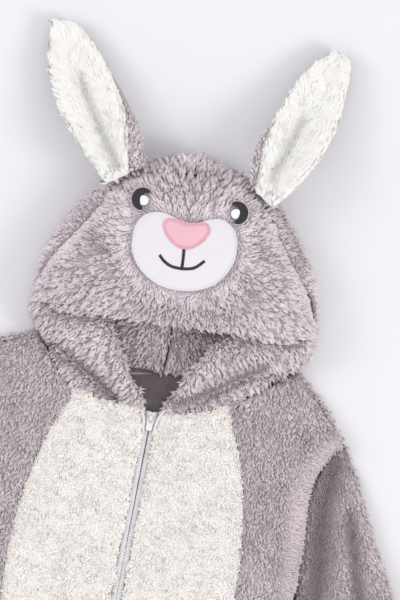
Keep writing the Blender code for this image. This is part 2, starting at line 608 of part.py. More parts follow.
# ---- face patches, laid on the hood front ----
ON_FACE = [BVHTree.FromObject(hood_front, deps)]


def patch(name, outline, centre, rings, clear, wall, colour, under=None, rough=0.7):
    """A sewn-on patch: rings from its centre to its outline, at the surface below it plus a clearance."""
    trees = under or ON_FACE
    n = len(outline)
    flat = [(centre[0], centre[1])] + [mix(centre, p, r) for r in rings for p in outline]
    verts = []
    for lift in (clear + wall, clear):
        for x, y in flat:
            px, py, _ = laid(x, y, 0)
            verts.append(Vector((px * MM, (py + REST_Y) * MM, (top_of(trees, px, py) + lift) * MM)))
    k = len(flat)
    faces = []
    for j in range(n):
        m = (j + 1) % n
        faces += [(0, 1 + j, 1 + m), (k, k + 1 + m, k + 1 + j)]
        for r in range(len(rings) - 1):
            a, b, c, d = 1 + r * n + j, 1 + r * n + m, 1 + (r + 1) * n + m, 1 + (r + 1) * n + j
            faces += [(a, d, c, b), (k + b, k + c, k + d, k + a)]
        a, b = 1 + (len(rings) - 1) * n + j, 1 + (len(rings) - 1) * n + m
        faces.append((a, k + a, k + b, b))
    return finish_mesh(name, verts, faces, colour, rough)


def closed_curve(points, per):
    n = len(points)
    out = []
    for i in range(n):
        four = [points[(i + d) % n] for d in (-1, 0, 1, 2)]
        out += [along(four, 1 + t / per) for t in range(per)]
    return out


muzzle = patch("muzzle", closed_curve(MUZZLE, 2), (0.0, 146.0), (0.4, 0.8, 1.0), 0.7, PATCH_WALL,
               (0.84, 0.83, 0.86))
NOSE = [(-21.6, 167.5), (-19.6, 172.4), (-15, 174.2), (-8, 173.2), (0.3, 171.8), (8, 173.6), (14.5, 174.8),
        (19.6, 172.6), (21.6, 167.5), (18.6, 160), (13.2, 153.8), (7, 149.7), (0.2, 148.2), (-6.6, 149.7),
        (-13, 153.8), (-18.6, 160)]
bpy.context.view_layer.update()
deps = bpy.context.evaluated_depsgraph_get()
ON_MUZZLE = [BVHTree.FromObject(hood_front, deps), BVHTree.FromObject(muzzle, deps)]
patch("nose", closed_curve(NOSE, 2), (0.0, 164.0), (0.3, 0.65, 1.0), 1.75, PATCH_WALL, (0.92, 0.55, 0.62),
      ON_MUZZLE)
# an eye: crescent, centre line points with half widths, opening toward the nose; drawn for the wearer's left
EYE = [(37.9, 195.3, 1.2), (42.3, 195.9, 2.5), (46.9, 193.9, 3.5), (49.3, 189.3, 4.0), (48.8, 184.0, 3.7),
       (46.0, 180.3, 2.6), (42.2, 178.9, 1.2)]
GLINT = (41.6, 186.4, 3.2)


def strip_patch(name, side, clear, wall, colour):
    rows = [along(EYE, k / 2) for k in range((len(EYE) - 1) * 2 + 1)]
    top, low = [], []
    for k, (x, y, w) in enumerate(rows):
        before, after = rows[max(k - 1, 0)], rows[min(k + 1, len(rows) - 1)]
        tx, ty = after[0] - before[0], after[1] - before[1]
        size = math.hypot(tx, ty)
        nx, ny = ty / size, -tx / size
        line, under = [], []
        for c in (-1, 0, 1):
            px, py, _ = laid(side * (x + nx * w * c), y + ny * w * c, 0)
            z = top_of(ON_FACE, px, py)
            line.append((px, py, z + clear + wall))
            under.append((px, py, z + clear))
        top.append(line)
        low.append(under)
    slab(name, top, low, colour, raw=True)


for side, name in ((1, "left"), (-1, "right")):
    strip_patch("eye_" + name, side, 0.8, PATCH_WALL, (0.03, 0.03, 0.035))
    gx, gy, radius = side * GLINT[0], GLINT[1], GLINT[2]
    turns = [a * math.pi / 7 for a in range(14)]
    ring = [(gx + radius * math.cos(a), gy + radius * math.sin(a)) for a in turns]
    patch("eye_" + name + "_glint", ring, (gx, gy), (0.6, 1.0), 0.8, PATCH_WALL, (0.9, 0.9, 0.9))

# ---- zip: two tapes, two coils, slider, pull tab and stop ----
ZIP_WHITE = (0.80, 0.78, 0.79)
for side, name in ((1, "left"), (-1, "right")):
    rows = [(ZIP_END_Y, 0.2, 13), (-250, 0.2, 13), (-150, 0.2, 13), (-60, 0.2, 13), (-14, 0.2, 13),
            (-8, 1.6, 12), (-3, 4.2, 11)]
    top = [[(side * lerp(a, b, q), y, 8.5) for q in (0, 1)] for y, a, b in rows]
    low = [[(side * lerp(a, b, q), y, 7.3) for q in (0, 1)] for y, a, b in rows]
    slab("zip_tape_" + name, top, low, ZIP_WHITE)
    path = [(1.75, ZIP_END_Y + 4)] + [(1.75, -320 + 20 * n) for n in range(16)]
    path += [(1.75, -10.4), (3, -6.8), (5.4, -3.2)]
    grid = []
    for x, y in path:
        sixths = [a * math.pi / 3 for a in range(6)]
        grid.append([(side * (x + 1.45 * math.cos(a)), y, 10.2 + 1.5 * math.sin(a)) for a in sixths])
    verts = [place(*p) for row in grid for p in row]
    faces = quads(len(grid), 6, flip=side > 0, ring=True)
    ends = [list(range(6)), list(range(len(verts) - 6, len(verts)))]
    faces.append(ends[0] if side > 0 else ends[0][::-1])
    faces.append(ends[1][::-1] if side > 0 else ends[1])
    finish_mesh("zip_coil_" + name, verts, faces, ZIP_WHITE, 0.45)


def prism(name, outline, z0, z1, colour, rough, metal, bevel):
    """Upright prism from a plan outline, edges bevelled."""
    n = len(outline)
    verts = [place(x, y, z) for z in (z0, z1) for x, y in outline]
    faces = [list(range(n))[::-1], list(range(n, 2 * n))]
    faces += [(a, (a + 1) % n, (a + 1) % n + n, a + n) for a in range(n)]
    ob = finish_mesh(name, verts, faces, colour, rough, metal)
    mod = ob.modifiers.new("edges", "BEVEL")
    mod.width = bevel * MM
    mod.segments = 2
    mod.limit_method = "ANGLE"
    return ob


# slider: a section across the zip (flanges and top plate), tapered in plan, with the bridge on top
SLIDER_Y = [(-15.0, 4.0), (-13.5, 4.2), (-10.4, 4.3), (-9.9, 4.4), (-7, 4.7), (-5, 4.6), (-4, 4.0)]
rows = []
for y, w in SLIDER_Y:
    t = w - 0.7
    foot = 9.0 if y < -10 else 11.9
    rows.append([(w, y, foot), (w, y, 12.4), (w - 0.7, y, 13.2), (-w + 0.7, y, 13.2), (-w, y, 12.4),
                 (-w, y, foot), (-t, y, foot), (-t, y, 12.0), (t, y, 12.0), (t, y, foot)])
verts = [place(*p) for row in rows for p in row]
faces = quads(len(rows), 10, ring=True, flip=True)
faces += [list(range(10)), list(range(len(verts) - 10, len(verts)))[::-1]]
BRIDGE = [(-6.1, 13.2), (-6.2, 15.0), (-7.2, 16.2), (-9, 16.6), (-10.8, 16.2), (-11.9, 15.0), (-12, 13.2),
          (-11.1, 13.2), (-11.0, 14.7), (-10.4, 15.3), (-9, 15.6), (-7.7, 15.3), (-7.1, 14.7), (-7.0, 13.2)]
base = len(verts)
for side in (1, -1):
    verts += [place(side * 1.1, y, z - (0.5 if z == 13.2 else 0)) for y, z in BRIDGE]
faces += [tuple(base + n for n in range(14)), tuple(base + 14 + n for n in reversed(range(14)))]
faces += [(base + (n + 1) % 14, base + n, base + 14 + n, base + 14 + (n + 1) % 14) for n in range(14)]
slider = finish_mesh("zip_slider", verts[:base], [f for f in faces if max(f) < base], ZIP_WHITE, 0.4)
arch_faces = [tuple(i - base for i in f) for f in faces if min(f) >= base]
arch = finish_mesh("bridge_helper", verts[base:], arch_faces, ZIP_WHITE, 0.4)
arch.hide_render = True
arch.display_type = "WIRE"
join = slider.modifiers.new("bridge", "BOOLEAN")
join.operation = "UNION"
join.solver = "EXACT"
join.object = arch

# pull tab: a plate with a window for the bridge, lying on the slider
PULL_Z = (13.5, 14.8)
HINGE_Y = -9.0
TAB = [(-1.7, -8.3), (1.7, -8.3), (2.9, -9.4), (2.9, -19.2), (1.9, -20.9), (-1.9, -20.9), (-2.9, -19.2),
       (-2.9, -9.4)]
WINDOW = [(-1.5, -9.7), (1.5, -9.7), (1.5, -11.5), (1.5, -13.4), (0.9, -13.9), (-0.9, -13.9), (-1.5, -13.4),
          (-1.5, -11.5)]
n_tab = 8
verts = [place(x, y, z) for z in PULL_Z for x, y in TAB + WINDOW]
ring = [0, 1, 2, 3, 4, 5, 6, 7]
match = [8, 9, 10, 11, 12, 13, 14, 15]
faces = []
for a in range(n_tab):
    b = (a + 1) % n_tab
    faces.append((16 + ring[a], 16 + match[a], 16 + match[b], 16 + ring[b]))
    faces.append((ring[b], match[b], match[a], ring[a]))
    faces.append((ring[a], 16 + ring[a], 16 + ring[b], ring[b]))
    faces.append((match[b], 16 + match[b], 16 + match[a], match[a]))
finish_mesh("zip_pull", verts, faces, ZIP_WHITE, 0.4)
STOP = [(-3.4, -341.5), (3.4, -341.5), (3.4, -338.6), (-3.4, -338.6)]
prism("zip_bottom_stop", STOP, 8.8, 11.8, ZIP_WHITE, 0.4, 0.0, 0.4)
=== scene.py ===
# %% [markdown]
# # A rabbit onesie in long-pile fleece
# The garment lies flat, face up: grey fleece body, white belly, a zip, and a hood with ears and a face.
# The solids of the frame already have every panel's shape and reach as far as the pile does. This script
# dresses them: each panel becomes a thinner cloth with thousands of small locks of pile standing on it,
# and the smooth patches, stitches and zip get their own pieces. The frame is loaded first, because every
# piece takes its place from it.

# %% Load the frame
import json
import math

import bmesh
import bpy
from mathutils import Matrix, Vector
from mathutils.bvhtree import BVHTree

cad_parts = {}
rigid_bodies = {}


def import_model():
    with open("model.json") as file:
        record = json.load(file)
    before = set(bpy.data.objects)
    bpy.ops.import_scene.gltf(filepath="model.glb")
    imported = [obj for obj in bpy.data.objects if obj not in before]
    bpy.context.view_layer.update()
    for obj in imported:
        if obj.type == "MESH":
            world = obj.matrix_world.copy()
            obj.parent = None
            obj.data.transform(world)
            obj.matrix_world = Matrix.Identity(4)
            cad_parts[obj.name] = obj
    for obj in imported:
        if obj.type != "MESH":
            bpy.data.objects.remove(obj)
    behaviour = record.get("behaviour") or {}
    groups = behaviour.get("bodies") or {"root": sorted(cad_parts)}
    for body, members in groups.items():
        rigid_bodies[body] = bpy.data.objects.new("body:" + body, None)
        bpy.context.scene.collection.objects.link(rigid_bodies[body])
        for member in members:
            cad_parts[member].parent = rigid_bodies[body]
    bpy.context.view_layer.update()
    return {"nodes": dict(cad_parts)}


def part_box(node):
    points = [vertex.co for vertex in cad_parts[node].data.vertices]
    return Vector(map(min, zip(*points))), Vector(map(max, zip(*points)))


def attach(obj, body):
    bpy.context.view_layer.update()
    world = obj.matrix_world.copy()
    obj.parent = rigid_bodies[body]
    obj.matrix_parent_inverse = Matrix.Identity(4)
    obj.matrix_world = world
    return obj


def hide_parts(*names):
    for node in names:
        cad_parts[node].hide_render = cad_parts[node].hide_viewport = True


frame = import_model()
MM = 0.001
NODES = frame["nodes"]

# %% [markdown]
# ## Places on the garment
# A tailor works in flat coordinates from the top of the zip. The garment lies a little askew in them: its
# head is turned by a few degrees. One small function carries a flat point, in millimetres, to where it
# lies, so that stitches and face parts can be given in plain numbers.

# %% From flat millimetres to the garment as it lies
HEAD_TURN = math.radians(2.6)
HEAD_PIVOT_Y = 150.0       # the head turns about this flat height
ZIP_TOP_Y = 157.0          # the zip's top in the frame
NECK_FROM, NECK_TALL = -5, 80      # the turn sets in here and is full this much higher


def ease(t):
    """0 below 0 and 1 above 1, with a smooth rise between."""
    t = min(max(t, 0.0), 1.0)
    return t * t * (3 - 2 * t)


def fade(distance, near, width):
    """1 up to the near distance, falling smoothly to 0 over this width."""
    return 1 - ease((distance - near) / width)


def laid(x, y):
    """A flat point in mm, measured from the zip's top, as (x, y) in metres where it lies."""
    turn = HEAD_TURN * ease((y - NECK_FROM) / NECK_TALL)
    dy = y - HEAD_PIVOT_Y
    return ((x * math.cos(turn) - dy * math.sin(turn)) * MM,
            (x * math.sin(turn) + dy * math.cos(turn) + HEAD_PIVOT_Y + ZIP_TOP_Y) * MM)


print("muzzle centre lies at (m):", [round(v, 3) for v in laid(0, 146)])

# %% [markdown]
# ## Camera, floor and light
# The garment is seen from straight above, turned in the frame. A large soft light from the right makes
# soft shadows on the left of each form, and a weaker one on the left opens them.

# %% Camera
CAMERA_HEIGHT = 4.0
VIEW_CENTRE = (0.0235, 0.2628)
VIEW_TURN = math.radians(11)
VIEW_TALL = 0.552          # metres of floor from the frame's bottom edge to its top
SENSOR = 36.0


def add_object(name, data):
    """A new object at the origin, linked to the scene."""
    made = bpy.data.objects.new(name, data)
    bpy.context.scene.collection.objects.link(made)
    return made


camera_data = bpy.data.cameras.new("camera")
camera = add_object("camera", camera_data)
camera.location = (*VIEW_CENTRE, CAMERA_HEIGHT)
camera.rotation_euler = (0, 0, VIEW_TURN)
camera_data.sensor_fit = "VERTICAL"
camera_data.sensor_height = SENSOR
camera_data.lens = CAMERA_HEIGHT * SENSOR / VIEW_TALL
bpy.context.scene.camera = camera
print("lens (mm):", round(camera_data.lens, 1))

# %% Floor and studio light
LIGHTS_LOOK_AT = Vector((0, 0.25, 0))


def area_light(name, place, size, watts, colour):
    """A round soft light that looks at the hood."""
    data = bpy.data.lights.new(name, "AREA")
    data.shape = "DISK"
    data.size, data.energy, data.color = size, watts, colour
    lamp = add_object(name, data)
    lamp.location = place
    lamp.rotation_euler = (LIGHTS_LOOK_AT - Vector(place)).to_track_quat("-Z", "Y").to_euler()


area_light("key", (2.75, -0.35, 2.1), 1.3, 40, (1.0, 0.985, 0.96))
area_light("fill", (-2.3, 0.35, 1.9), 1.5, 20, (0.97, 0.96, 1.0))
world = bpy.data.worlds.new("studio")
world.use_nodes = True
background = world.node_tree.nodes["Background"].inputs
background["Color"].default_value = (0.965, 0.96, 1.0, 1)
background["Strength"].default_value = 0.87
bpy.context.scene.world = world
bpy.context.scene.view_settings.view_transform = "Standard"

UPWARDS = Vector((0, 0, 1))
FLOOR_HALF = 6.0
FLOOR_DROP = 0.0004        # the floor lies this far under the garment, so that their faces never meet
CORNERS = [(-1, -1), (1, -1), (1, 1), (-1, 1)]
floor_mesh = bpy.data.meshes.new("floor")
floor_mesh.from_pydata([(x * FLOOR_HALF, y * FLOOR_HALF, 0) for x, y in CORNERS], [], [(0, 1, 2, 3)])
floor = add_object("floor", floor_mesh)
floor.location.z = -FLOOR_DROP

# %% [markdown]
# ## Material helpers
# Every finish starts from a Principled shader. Small helpers add nodes and wire them, so that each
# material below reads as a short recipe. Two effects are shared by many finishes, the fine **fibre
# grain** of cloth and the slow **mottling** that makes dyed fleece uneven, and each is a node group with
# named inputs.

# %% Node helpers
def set_input(tree, socket, value):
    """Wire another node's output into an input, or give the input a plain value."""
    if isinstance(value, bpy.types.NodeSocket):
        tree.links.new(value, socket)
    else:
        socket.default_value = value


def add_node(tree, kind, settings=(), **values):
    """A node with its properties set. A keyword is an input's name, _ for a space, or i and its number."""
    made = tree.nodes.new(kind)
    for key, value in dict(settings).items():
        setattr(made, key, value)
    for key, value in values.items():
        numbered = key[0] == "i" and key[1:].isdigit()
        set_input(tree, made.inputs[int(key[1:]) if numbered else key.replace("_", " ")], value)
    return made


def math_node(tree, operation, *values):
    """The result of a maths node on numbers or other nodes' outputs."""
    node = add_node(tree, "ShaderNodeMath", {"operation": operation})
    for socket, value in zip(node.inputs, values):
        set_input(tree, socket, value)
    return node.outputs[0]


def vector_node(tree, operation, *values):
    """The same for vectors. The second value of SCALE, and the result of LENGTH, are numbers."""
    node = add_node(tree, "ShaderNodeVectorMath", {"operation": operation})
    sockets = [node.inputs[0], node.inputs["Scale" if operation == "SCALE" else 1]]
    for socket, value in zip(sockets, values):
        set_input(tree, socket, value)
    return node.outputs["Value" if operation == "LENGTH" else 0]


def new_group(name, kind, inputs, outputs):
    """An empty node group with named sockets; gives the tree, its input node and its output node."""
    tree = bpy.data.node_groups.new(name, kind)
    for in_out, sockets in (("INPUT", inputs), ("OUTPUT", outputs)):
        for label, socket_kind, *value in sockets:
            socket = tree.interface.new_socket(label, in_out=in_out, socket_type="NodeSocket" + socket_kind)
            if value:
                socket.default_value = value[0]
    return tree, tree.nodes.new("NodeGroupInput"), tree.nodes.new("NodeGroupOutput")


def new_material(name, colour, roughness):
    material = bpy.data.materials.new(name)
    material.use_nodes = True
    shader = material.node_tree.nodes["Principled BSDF"]
    shader.inputs["Base Color"].default_value = (*colour, 1)
    shader.inputs["Roughness"].default_value = roughness
    material.diffuse_color = (*colour, 1)
    return material, material.node_tree, shader


# %% Shared effects: fibre grain and mottling
grain_tree, grain_in, grain_out = new_group("fibre grain", "ShaderNodeTree", [
    ("Threads per metre", "Float", 2000.0), ("Stretch", "Float", 1.0)], [("Height", "Float")])
where = add_node(grain_tree, "ShaderNodeTexCoord").outputs["Object"]
squeeze = add_node(grain_tree, "ShaderNodeCombineXYZ", X=1.0, Z=1.0)
grain_tree.links.new(grain_in.outputs["Stretch"], squeeze.inputs["Y"])
stretched = vector_node(grain_tree, "MULTIPLY", where, squeeze.outputs[0])
grain_noise = add_node(grain_tree, "ShaderNodeTexNoise", Vector=stretched, Detail=3.0, Roughness=0.6,
                       Scale=grain_in.outputs["Threads per metre"])
grain_tree.links.new(grain_noise.outputs["Fac"], grain_out.inputs["Height"])

mottle_tree, mottle_in, mottle_out = new_group("mottling", "ShaderNodeTree", [
    ("Colour", "Color"), ("Patches per metre", "Float", 30.0), ("Strength", "Float", 0.1)], [("Colour", "Color")])
where = add_node(mottle_tree, "ShaderNodeTexCoord").outputs["Object"]
patches = add_node(mottle_tree, "ShaderNodeTexNoise", Vector=where, Detail=4.0,
                   Scale=mottle_in.outputs["Patches per metre"])
swing = math_node(mottle_tree, "SUBTRACT", patches.outputs["Fac"], 0.5)
swing = math_node(mottle_tree, "MULTIPLY_ADD", swing, mottle_in.outputs["Strength"], 1.0)
mottled = vector_node(mottle_tree, "SCALE", mottle_in.outputs["Colour"], swing)
mottle_tree.links.new(mottled, mottle_out.inputs["Colour"])
print("shared groups:", [group.name for group in bpy.data.node_groups])


# %% Recipes for the shared parts of a cloth finish
def mottle(tree, colour, per_metre=30.0, strength=0.1):
    """The colour, given as a triple or a socket, made a little uneven."""
    colour = colour if isinstance(colour, bpy.types.NodeSocket) else (*colour, 1)
    return add_node(tree, "ShaderNodeGroup", {"node_tree": mottle_tree}, Colour=colour,
                    Patches_per_metre=per_metre, Strength=strength).outputs[0]


def grain(tree, shader, threads, distance_mm, stretch=1.0, strength=0.6):
    """Fine thread relief on the shader's normal."""
    height = add_node(tree, "ShaderNodeGroup", {"node_tree": grain_tree}, Threads_per_metre=threads,
                      Stretch=stretch)
    bump = add_node(tree, "ShaderNodeBump", Height=height.outputs[0], Distance=distance_mm * MM,
                    Strength=strength)
    tree.links.new(bump.outputs[0], shader.inputs["Normal"])


# painted shade: pile and backing are darkened in deep folds and hollows, by at most this share
HOLLOW_SHADE = 0.65    # how much darker pile is in a deep fold


def stored(tree, name):
    """A number that the mesh carries at each point."""
    return add_node(tree, "ShaderNodeAttribute", {"attribute_name": name}).outputs["Fac"]


def fold_light(tree):
    """Painted shade: 1 in the open, less in a deep fold."""
    return math_node(tree, "MULTIPLY_ADD", stored(tree, "hollow"), -HOLLOW_SHADE, 1.0)


def pile_material(name, root, tip, sheen, tufts, uneven):
    """Locks of pile: dark with painted shade at the root, pale at the tip, each lock its own lightness, with
    painted shade at partings and in folds.
    """
    material, tree, shader = new_material(name, tip, 0.9)
    shade = add_node(tree, "ShaderNodeValToRGB")
    tree.links.new(stored(tree, "along"), shade.inputs[0])
    for element, colour, place in zip(shade.color_ramp.elements, (root, tip), (0.05, 0.65)):
        element.color = (*colour, 1)
        element.position = place
    # painted shade: a lock's random lightness, darker at a clump's parting, then darker again in folds
    light = math_node(tree, "MULTIPLY_ADD", stored(tree, "tone"), tufts, 1 - tufts / 2)
    light = math_node(tree, "MULTIPLY", light, fold_light(tree))
    toned = vector_node(tree, "SCALE", shade.outputs[0], light)
    tree.links.new(mottle(tree, toned, 26.0, uneven), shader.inputs["Base Color"])
    shader.inputs["Sheen Weight"].default_value = sheen
    shader.inputs["Sheen Roughness"].default_value = 0.5
    shader.inputs["Specular IOR Level"].default_value = 0.15
    return material


def backing_material(name, colour, threads=900.0, bump_mm=0.5, strength=0.25, folds=True):
    """The knit that pile grows from, and the bare inner side of a panel; with folds, painted shade darkens it in
    hollows and creases.
    """
    material, tree, shader = new_material(name, colour, 0.95)
    uneven = mottle(tree, colour, 60.0, strength)
    # painted shade in hollows and creases
    if folds:
        uneven = vector_node(tree, "SCALE", uneven, fold_light(tree))
    tree.links.new(uneven, shader.inputs["Base Color"])
    grain(tree, shader, threads, bump_mm)
    shader.inputs["Specular IOR Level"].default_value = 0.15
    return material


# each pile runs from its root's colour to its tip's; a darker root is painted shade deep in the pile
GREY_PILE = pile_material("grey long pile", (0.50, 0.44, 0.455), (0.69, 0.625, 0.64), 0.25, 0.5, 0.6)
GREY_CURLS = pile_material("grey curly pile", (0.42, 0.365, 0.375), (0.545, 0.485, 0.495), 0.15, 0.45, 0.6)
WHITE_PILE = pile_material("white short curls", (0.87, 0.835, 0.78), (0.88, 0.85, 0.795), 0.1, 0.06, 0.1)
EAR_PILE = pile_material("white brushed pile", (0.85, 0.835, 0.785), (0.87, 0.86, 0.81), 0.1, 0.15, 0.1)
# the grey backing is the knit's grey darkened with painted shade, so that the gaps between locks look deep
GREY_BACKING_WITH_SHADE = backing_material("grey knit backing", (0.47, 0.415, 0.43))
WHITE_BACKING = backing_material("white knit backing", (0.90, 0.88, 0.84), strength=0.1)
# the back's inner side, seen in the neck opening under the hood, is its own knit colour darkened further with
# painted shade
INNER_SIDE_WITH_SHADE = backing_material("inner side of the back", (0.17, 0.145, 0.15), 320.0, 1.1, 1.3, False)
print("materials:", [m.name for m in bpy.data.materials])

# %% [markdown]
# ## Cloth under the pile
# Fleece is a knit a millimetre or two thick with pile on it. Each panel's cloth is a copy of its solid
# with the triangles paired back into quads, drawn in by the pile's depth wherever pile will stand, and
# subdivided until it is smooth. Faces that meet another panel, the floor or the inside of a flattened
# sleeve stay where they are and grow nothing. A ray along each face's normal tells them apart: it soon
# hits something.

# %% Which faces carry pile
def tree_of_solids(names):
    """One ray-casting tree over several nodes."""
    verts, faces = [], []
    for name in names:
        mesh = NODES[name].data
        start = len(verts)
        verts += [v.co.copy() for v in mesh.vertices]
        faces += [[start + i for i in p.vertices] for p in mesh.polygons]
    return BVHTree.FromPolygons(verts, faces)


PANELS = ["back", "belly_left", "belly_right", "side_front_left", "side_front_right", "sleeve_left",
          "sleeve_right", "hood_front", "hood_back_left", "hood_back_right", "ear_left_outer", "ear_left_inner",
          "ear_right_outer", "ear_right_inner"]
GARMENT = tree_of_solids([name for name in PANELS if not name.startswith("ear")])
EARS = tree_of_solids([name for name in PANELS if name.startswith("ear")])
PATCHES = tree_of_solids(["muzzle", "eye_left", "eye_right", "eye_left_glint", "eye_right_glint"])
NECK_HALF = 0.08       # within this far of the middle the back's inner side is seen bare
LOOK_OUT = 0.00005     # a ray starts this far off its own face
EAR_REACH = 0.0025
REACH = 0.06           # a ray that meets nothing this near is in the open
ON_FLOOR = 0.0015      # a face that looks down below this height lies on the floor
HOOD_FLOOR = 0.014     # the inner side of the hood's back lies below this height


def open_distance(point, normal):
    """How far a face can look out before it meets the garment, or an ear close by."""
    hit = GARMENT.ray_cast(point + normal * LOOK_OUT, normal, REACH)
    ear = EARS.ray_cast(point + normal * LOOK_OUT, normal, EAR_REACH)
    near = hit[3] if hit[0] is not None else REACH
    return min(near, ear[3]) if ear[0] is not None else near


def grows_pile(name, point, normal):
    """Whether a face at this point, facing this way, shows pile."""
    if point.z < ON_FLOOR and normal.z < -0.8:
        return False
    clear = open_distance(point, normal)
    if name.startswith("hood_back"):
        inside = point.z < HOOD_FLOOR and normal.z > 0.5
        return clear > 0.0045 if inside else clear > 0.055
    if name == "back":
        return clear > 0.03 and (abs(normal.z) < 0.75 or normal.z > 0 and abs(point.x) > NECK_HALF)
    if name == "hood_front":
        return normal.z > -0.45 and clear > 0.005
    if name.startswith("sleeve") and normal.z > 0.25:
        above = point + Vector((0, 0, 4 * LOOK_OUT))
        clear = max(clear, REACH * (GARMENT.ray_cast(above, UPWARDS)[0] is None))
    return normal.z > -0.6 and clear > 0.006


# %% The cloth of one panel
SEAM_REACH = 0.0012    # a face with a neighbour this close is sewn to it
MOST_OF_WALL = 0.4     # the cloth sinks by no more than this share of its wall
LOWEST = 0.0002        # and stays this far above the floor
SAME_POINT = 1e-5
PAIR_FACES, PAIR_SHAPES = 0.9, 1.2     # how bent and how skewed two triangles may be and still make a quad
SHARP_EDGE = math.radians(50)
SHARPNESS = 0.8


def smooth_shaded(mesh):
    for polygon in mesh.polygons:
        polygon.use_smooth = True


def area_normal(vertex, layer):
    """The sum of the normals, by area, of a vertex's faces that are marked in a layer."""
    return sum((f.normal * f.calc_area() for f in vertex.link_faces if f[layer] > 0.5), Vector())


def panel_cloth(name, pile_mm, smooth_levels):
    """A copy of a node's mesh, drawn in by the pile's depth. 'grows' is 1 on faces where pile stands."""
    own = tree_of_solids([name])
    mesh = NODES[name].data.copy()
    mesh.name = name + "_cloth"
    work = bmesh.new()
    work.from_mesh(mesh)
    bmesh.ops.remove_doubles(work, verts=work.verts, dist=SAME_POINT)
    work.normal_update()
    shows = work.faces.layers.float.new("grows")
    sewn = work.faces.layers.float.new("sewn")
    for face in work.faces:
        centre = face.calc_center_median()
        face[shows] = float(grows_pile(name, centre, face.normal))
        face[sewn] = float(open_distance(centre, face.normal) < SEAM_REACH)
    bmesh.ops.join_triangles(work, faces=work.faces, angle_face_threshold=PAIR_FACES,
                             angle_shape_threshold=PAIR_SHAPES)
    work.normal_update()
    moves = []
    for vertex in work.verts:
        push = area_normal(vertex, shows)
        across = area_normal(vertex, sewn).normalized()
        if across.length > 0:      # at a seam the cloth sinks along its neighbour and leaves no gap
            push -= across * push.dot(across)
        push.normalize()
        through = own.ray_cast(vertex.co - push * LOOK_OUT, -push)[3] if push.length > 0 else None
        moves.append(push * min(pile_mm * MM, MOST_OF_WALL * (through or 1.0)))
    for vertex, move in zip(work.verts, moves):
        vertex.co -= move
        vertex.co.z = max(vertex.co.z, LOWEST)
    crease = work.edges.layers.float.new("crease_edge")
    for edge in work.edges:
        if len(edge.link_faces) == 2 and edge.calc_face_angle() > SHARP_EDGE:
            edge[crease] = SHARPNESS
    work.to_mesh(mesh)
    work.free()
    piece = add_object(mesh.name, mesh)
    mesh.materials.clear()
    if smooth_levels:
        smooth = piece.modifiers.new("smooth", "SUBSURF")
        smooth.levels = smooth.render_levels = smooth_levels
        bake(piece)
    smooth_shaded(piece.data)
    return piece


def bake(piece):
    """Turn a piece's modifiers into plain mesh."""
    bpy.context.view_layer.update()
    graph = bpy.context.evaluated_depsgraph_get()
    mesh = bpy.data.meshes.new_from_object(piece.evaluated_get(graph))
    old, piece.data = piece.data, mesh
    piece.modifiers.clear()
    mesh.name = piece.name
    bpy.data.meshes.remove(old)


# %% Near which seam a point lies
HOOD_BACKS = tree_of_solids(["hood_back_left", "hood_back_right"])
HOOD_FRONT = tree_of_solids(["hood_front"])
SLEEVES = tree_of_solids(["sleeve_left", "sleeve_right"])
FOLD_EDGE = 0.018      # the armhole's smooth fold is this wide
FOLD_TOP = 0.165       # and ends at this height on the shoulder
FOLD_PROUD = 0.015     # it stands above this
SLEEVE_TOP = 0.010


def gap(solids, p):
    """How far a point is from the nearest of these solids."""
    return solids.find_nearest(p)[3]


def beside_sleeve(name, p):
    """1 on the smooth fold along the armhole, 0 away from it."""
    if not name.startswith("side_front") or p.y > FOLD_TOP or p.z < FOLD_PROUD:
        return 0.0
    return fade(gap(SLEEVES, Vector((p.x, p.y, SLEEVE_TOP))), 0.006, FOLD_EDGE)


def near_neck(p):
    """1 on a belly panel's edge under the hood."""
    return fade(gap(HOOD_FRONT, p), 0.002, 0.006)


# %% [markdown]
# ## Which way the pile lies
# Pile is brushed, and gravity and the seams turn it. On the hood it runs outwards from the face: up on
# the brow, aside on the cheeks and down at the brim, and round the smooth muzzle patch it follows the
# patch's edge. On the ears it runs towards the tip, and on the body and sleeves down towards the hems.
# Every point of a cloth gets this direction as a vector attribute.

# %% Directions of lie
MUZZLE_CENTRE = Vector((*laid(0, 146), 0))
MUZZLE_HALF = Vector((0.048, 0.036, 0))
BRIM_Y = 0.235             # below this height the hood's front is its lips
BROW_Y, BROW_TALL = 0.318, 0.03    # the brow begins here, and its tufts are loose this much higher


def lie_on_hood(p):
    """Outwards from the face, and round the muzzle's edge."""
    away = Vector((p.x - MUZZLE_CENTRE.x, p.y - MUZZLE_CENTRE.y, 0))
    off = Vector((away.x / MUZZLE_HALF.x, away.y / MUZZLE_HALF.y, 0))
    near = fade(off.length, 1.0, 0.35)
    way = away.normalized()
    if near > 0:
        round_edge = Vector((-off.y * MUZZLE_HALF.x, off.x * MUZZLE_HALF.y, 0)) * (1 if off.x < 0 else -1)
        way = way.lerp(round_edge.normalized() + way * 0.5, near * 0.8 * (off.y < 0.75))
    return way


def lie_on_belly(p):
    """Over the tape beside the zip, up under the hood, down and outwards elsewhere."""
    way = Vector((p.x * 4, -0.3, 0)).normalized()
    way = way.lerp(Vector((-1 if p.x > 0 else 1, -0.4, 0)), fade(abs(p.x), 0.006, 0.010))
    return way.lerp(Vector((0, 1, 0)), near_neck(p))


# places on the ears: the tips in flat mm, the valleys in mm of the frame
EAR_TIP = {"left": laid(97, 350), "right": laid(-158, 330)}
EAR_VALLEY = {"left": [(84.9, 443.4), (76.0, 410.8), (66.2, 380.7)],
              "right": [(-121.3, 439.0), (-103.5, 409.9), (-88.0, 388.3), (-71.6, 366.2)]}
EAR_HALF = 0.028


def ear_side(name):
    return "left" if "left" in name else "right"


